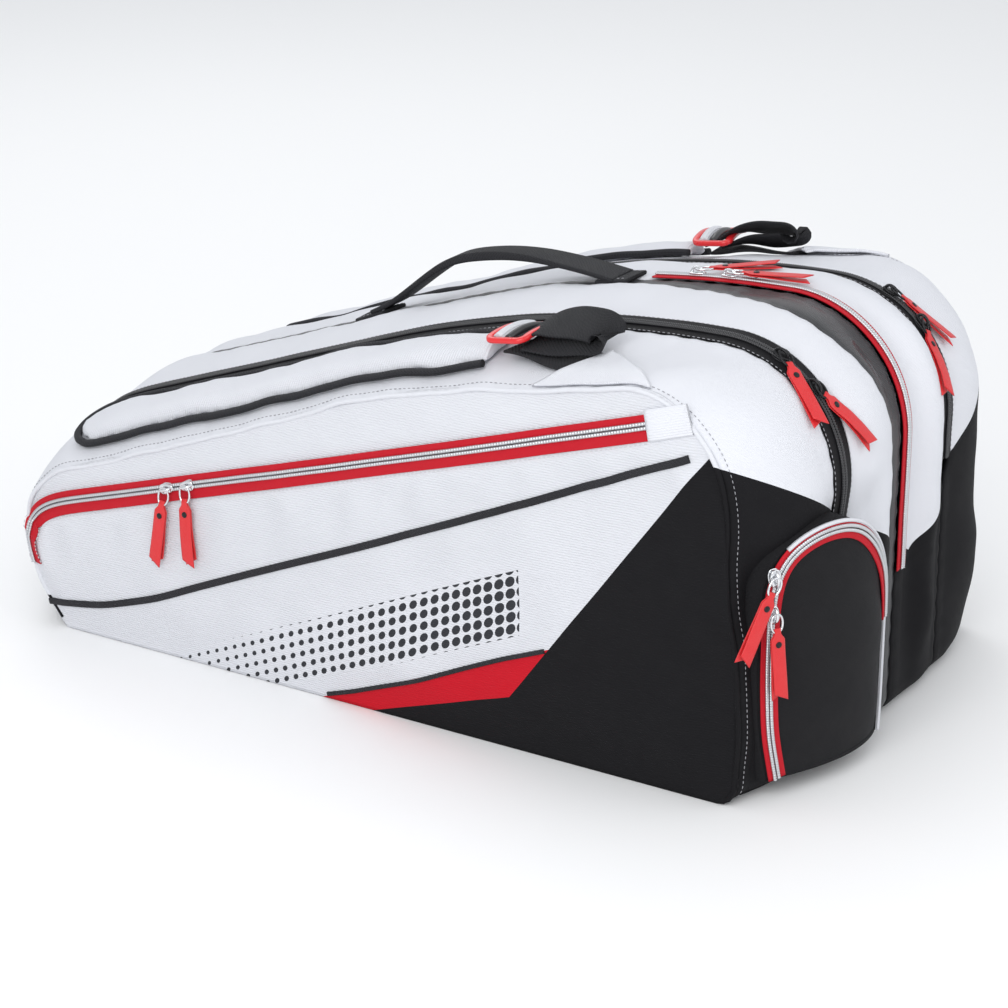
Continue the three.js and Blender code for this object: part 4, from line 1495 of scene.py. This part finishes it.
# the leather bends outwards wherever the cloth would reach it: each station along it is lifted by what it
# lacks to stand clear, never less than the station before, and then smoothed
def laidOn(points, pivot, far, out, spot):
    cloth, normals = clothNear(spot)
    stations = np.linspace(0.0, pullShape["loop"] + pullShape["length"], 18)
    centers = pivot + far * stations[:, None]
    clear = pullShape["sideClear" if spot.startswith("side") else "clear"]
    need = []
    for center in centers:
        gaps = cloth - center
        near = np.argsort(np.einsum("ij,ij->i", gaps, gaps))[:6]
        height = np.einsum("ij,ij->i", -gaps[near], normals[near]).min()
        need.append(max(0.0, clear - height))
    need = np.maximum.accumulate(np.array(need) * 0.999)
    need[1:-1] = (need[:-2] + 2 * need[1:-1] + need[2:]) / 4
    return points + out * np.interp((points - pivot) @ far, stations, need)[:, None]


pullParts = (("wire", loopMesh), ("leather", leatherMesh), ("rivet", rivetMesh))
zipPairs = {"near": ("upper", "lower"), "far": ("upper", "lower"), "middle": ("rear", "front"),
            "side": ("rear", "front"), "end": ("upper", "lower")}


# a slider sits at its pull's pivot less its height, its length along its zip; the pull lies the way its
# node lies
def addSliders():
    for spot in (f"{zipName}_{end}" for zipName, ends in zipPairs.items() for end in ends):
        swing = jointNamed(spot + "_pull_swing")
        travel = jointNamed(spot + "_zip")
        pivot, hinge = np.array(swing["pos_m"]), unit(np.array(swing["axis"]))
        middle = nodePoints(spot + "_slider").mean(0)
        if travel["type"] == "slide":
            along = unit(np.array(travel["axis"]))
        else:
            along = unit(np.cross(travel["axis"], middle - np.array(travel["pos_m"])))
        out = pivot - middle
        out = unit(out - along * (out @ along))
        origin = pivot - out * sliderShape["rise"]
        look, slot = sliderFinish.get(spot.split("_")[0], ("silver", "silver_zip"))
        axes = (along, np.cross(out, along), out)
        metal = meshPiece(spot + "_slider_metal", *placed(sliderMesh(), origin, axes), look)
        hold(metal, spot + "_slider_body", slot, spot + "_slider")
        pull = nodePoints(spot + "_pull")
        reach = pull - pivot
        far = unit(reach[np.argmax(np.linalg.norm(reach, axis=1))])
        far = unit(far - hinge * (far @ hinge))
        axes = (far, hinge, np.cross(far, hinge))
        body = spot + "_pull_body"
        facing = np.cross(far, hinge)
        facing = facing * np.sign(facing @ out)
        finishes = ((look, slot), ("leather", "red_leather"), ("blackMetal", "black_metal"))
        for (part, mesh), (finish, partSlot) in zip(pullParts, finishes):
            points, quads = placed(mesh(), pivot, axes)
            piece = meshPiece(f"{spot}_{part}", laidOn(points, pivot, far, facing, spot), quads, finish)
            hold(piece, body, partSlot, *([spot + "_pull"] if part == "leather" else []))


addSliders()
print("sliders and pulls are on")


# a flat floor just below the bag, for the render only
def addStage():
    t = np.linspace(-floorHalf, floorHalf, 5)
    gx, gy = np.meshgrid(t, t, indexing="ij")
    points = np.stack((gx, gy, 0 * gx - 0.0005), -1)
    floor = meshPiece("studio_floor", points, gridQuads(5, 5), "white", smooth=False)
    look = Look("floor_paint")
    floor.data.materials[0] = look.finish(floorColor, look.noise(3.0) * 0.05 + 0.6)


addStage()
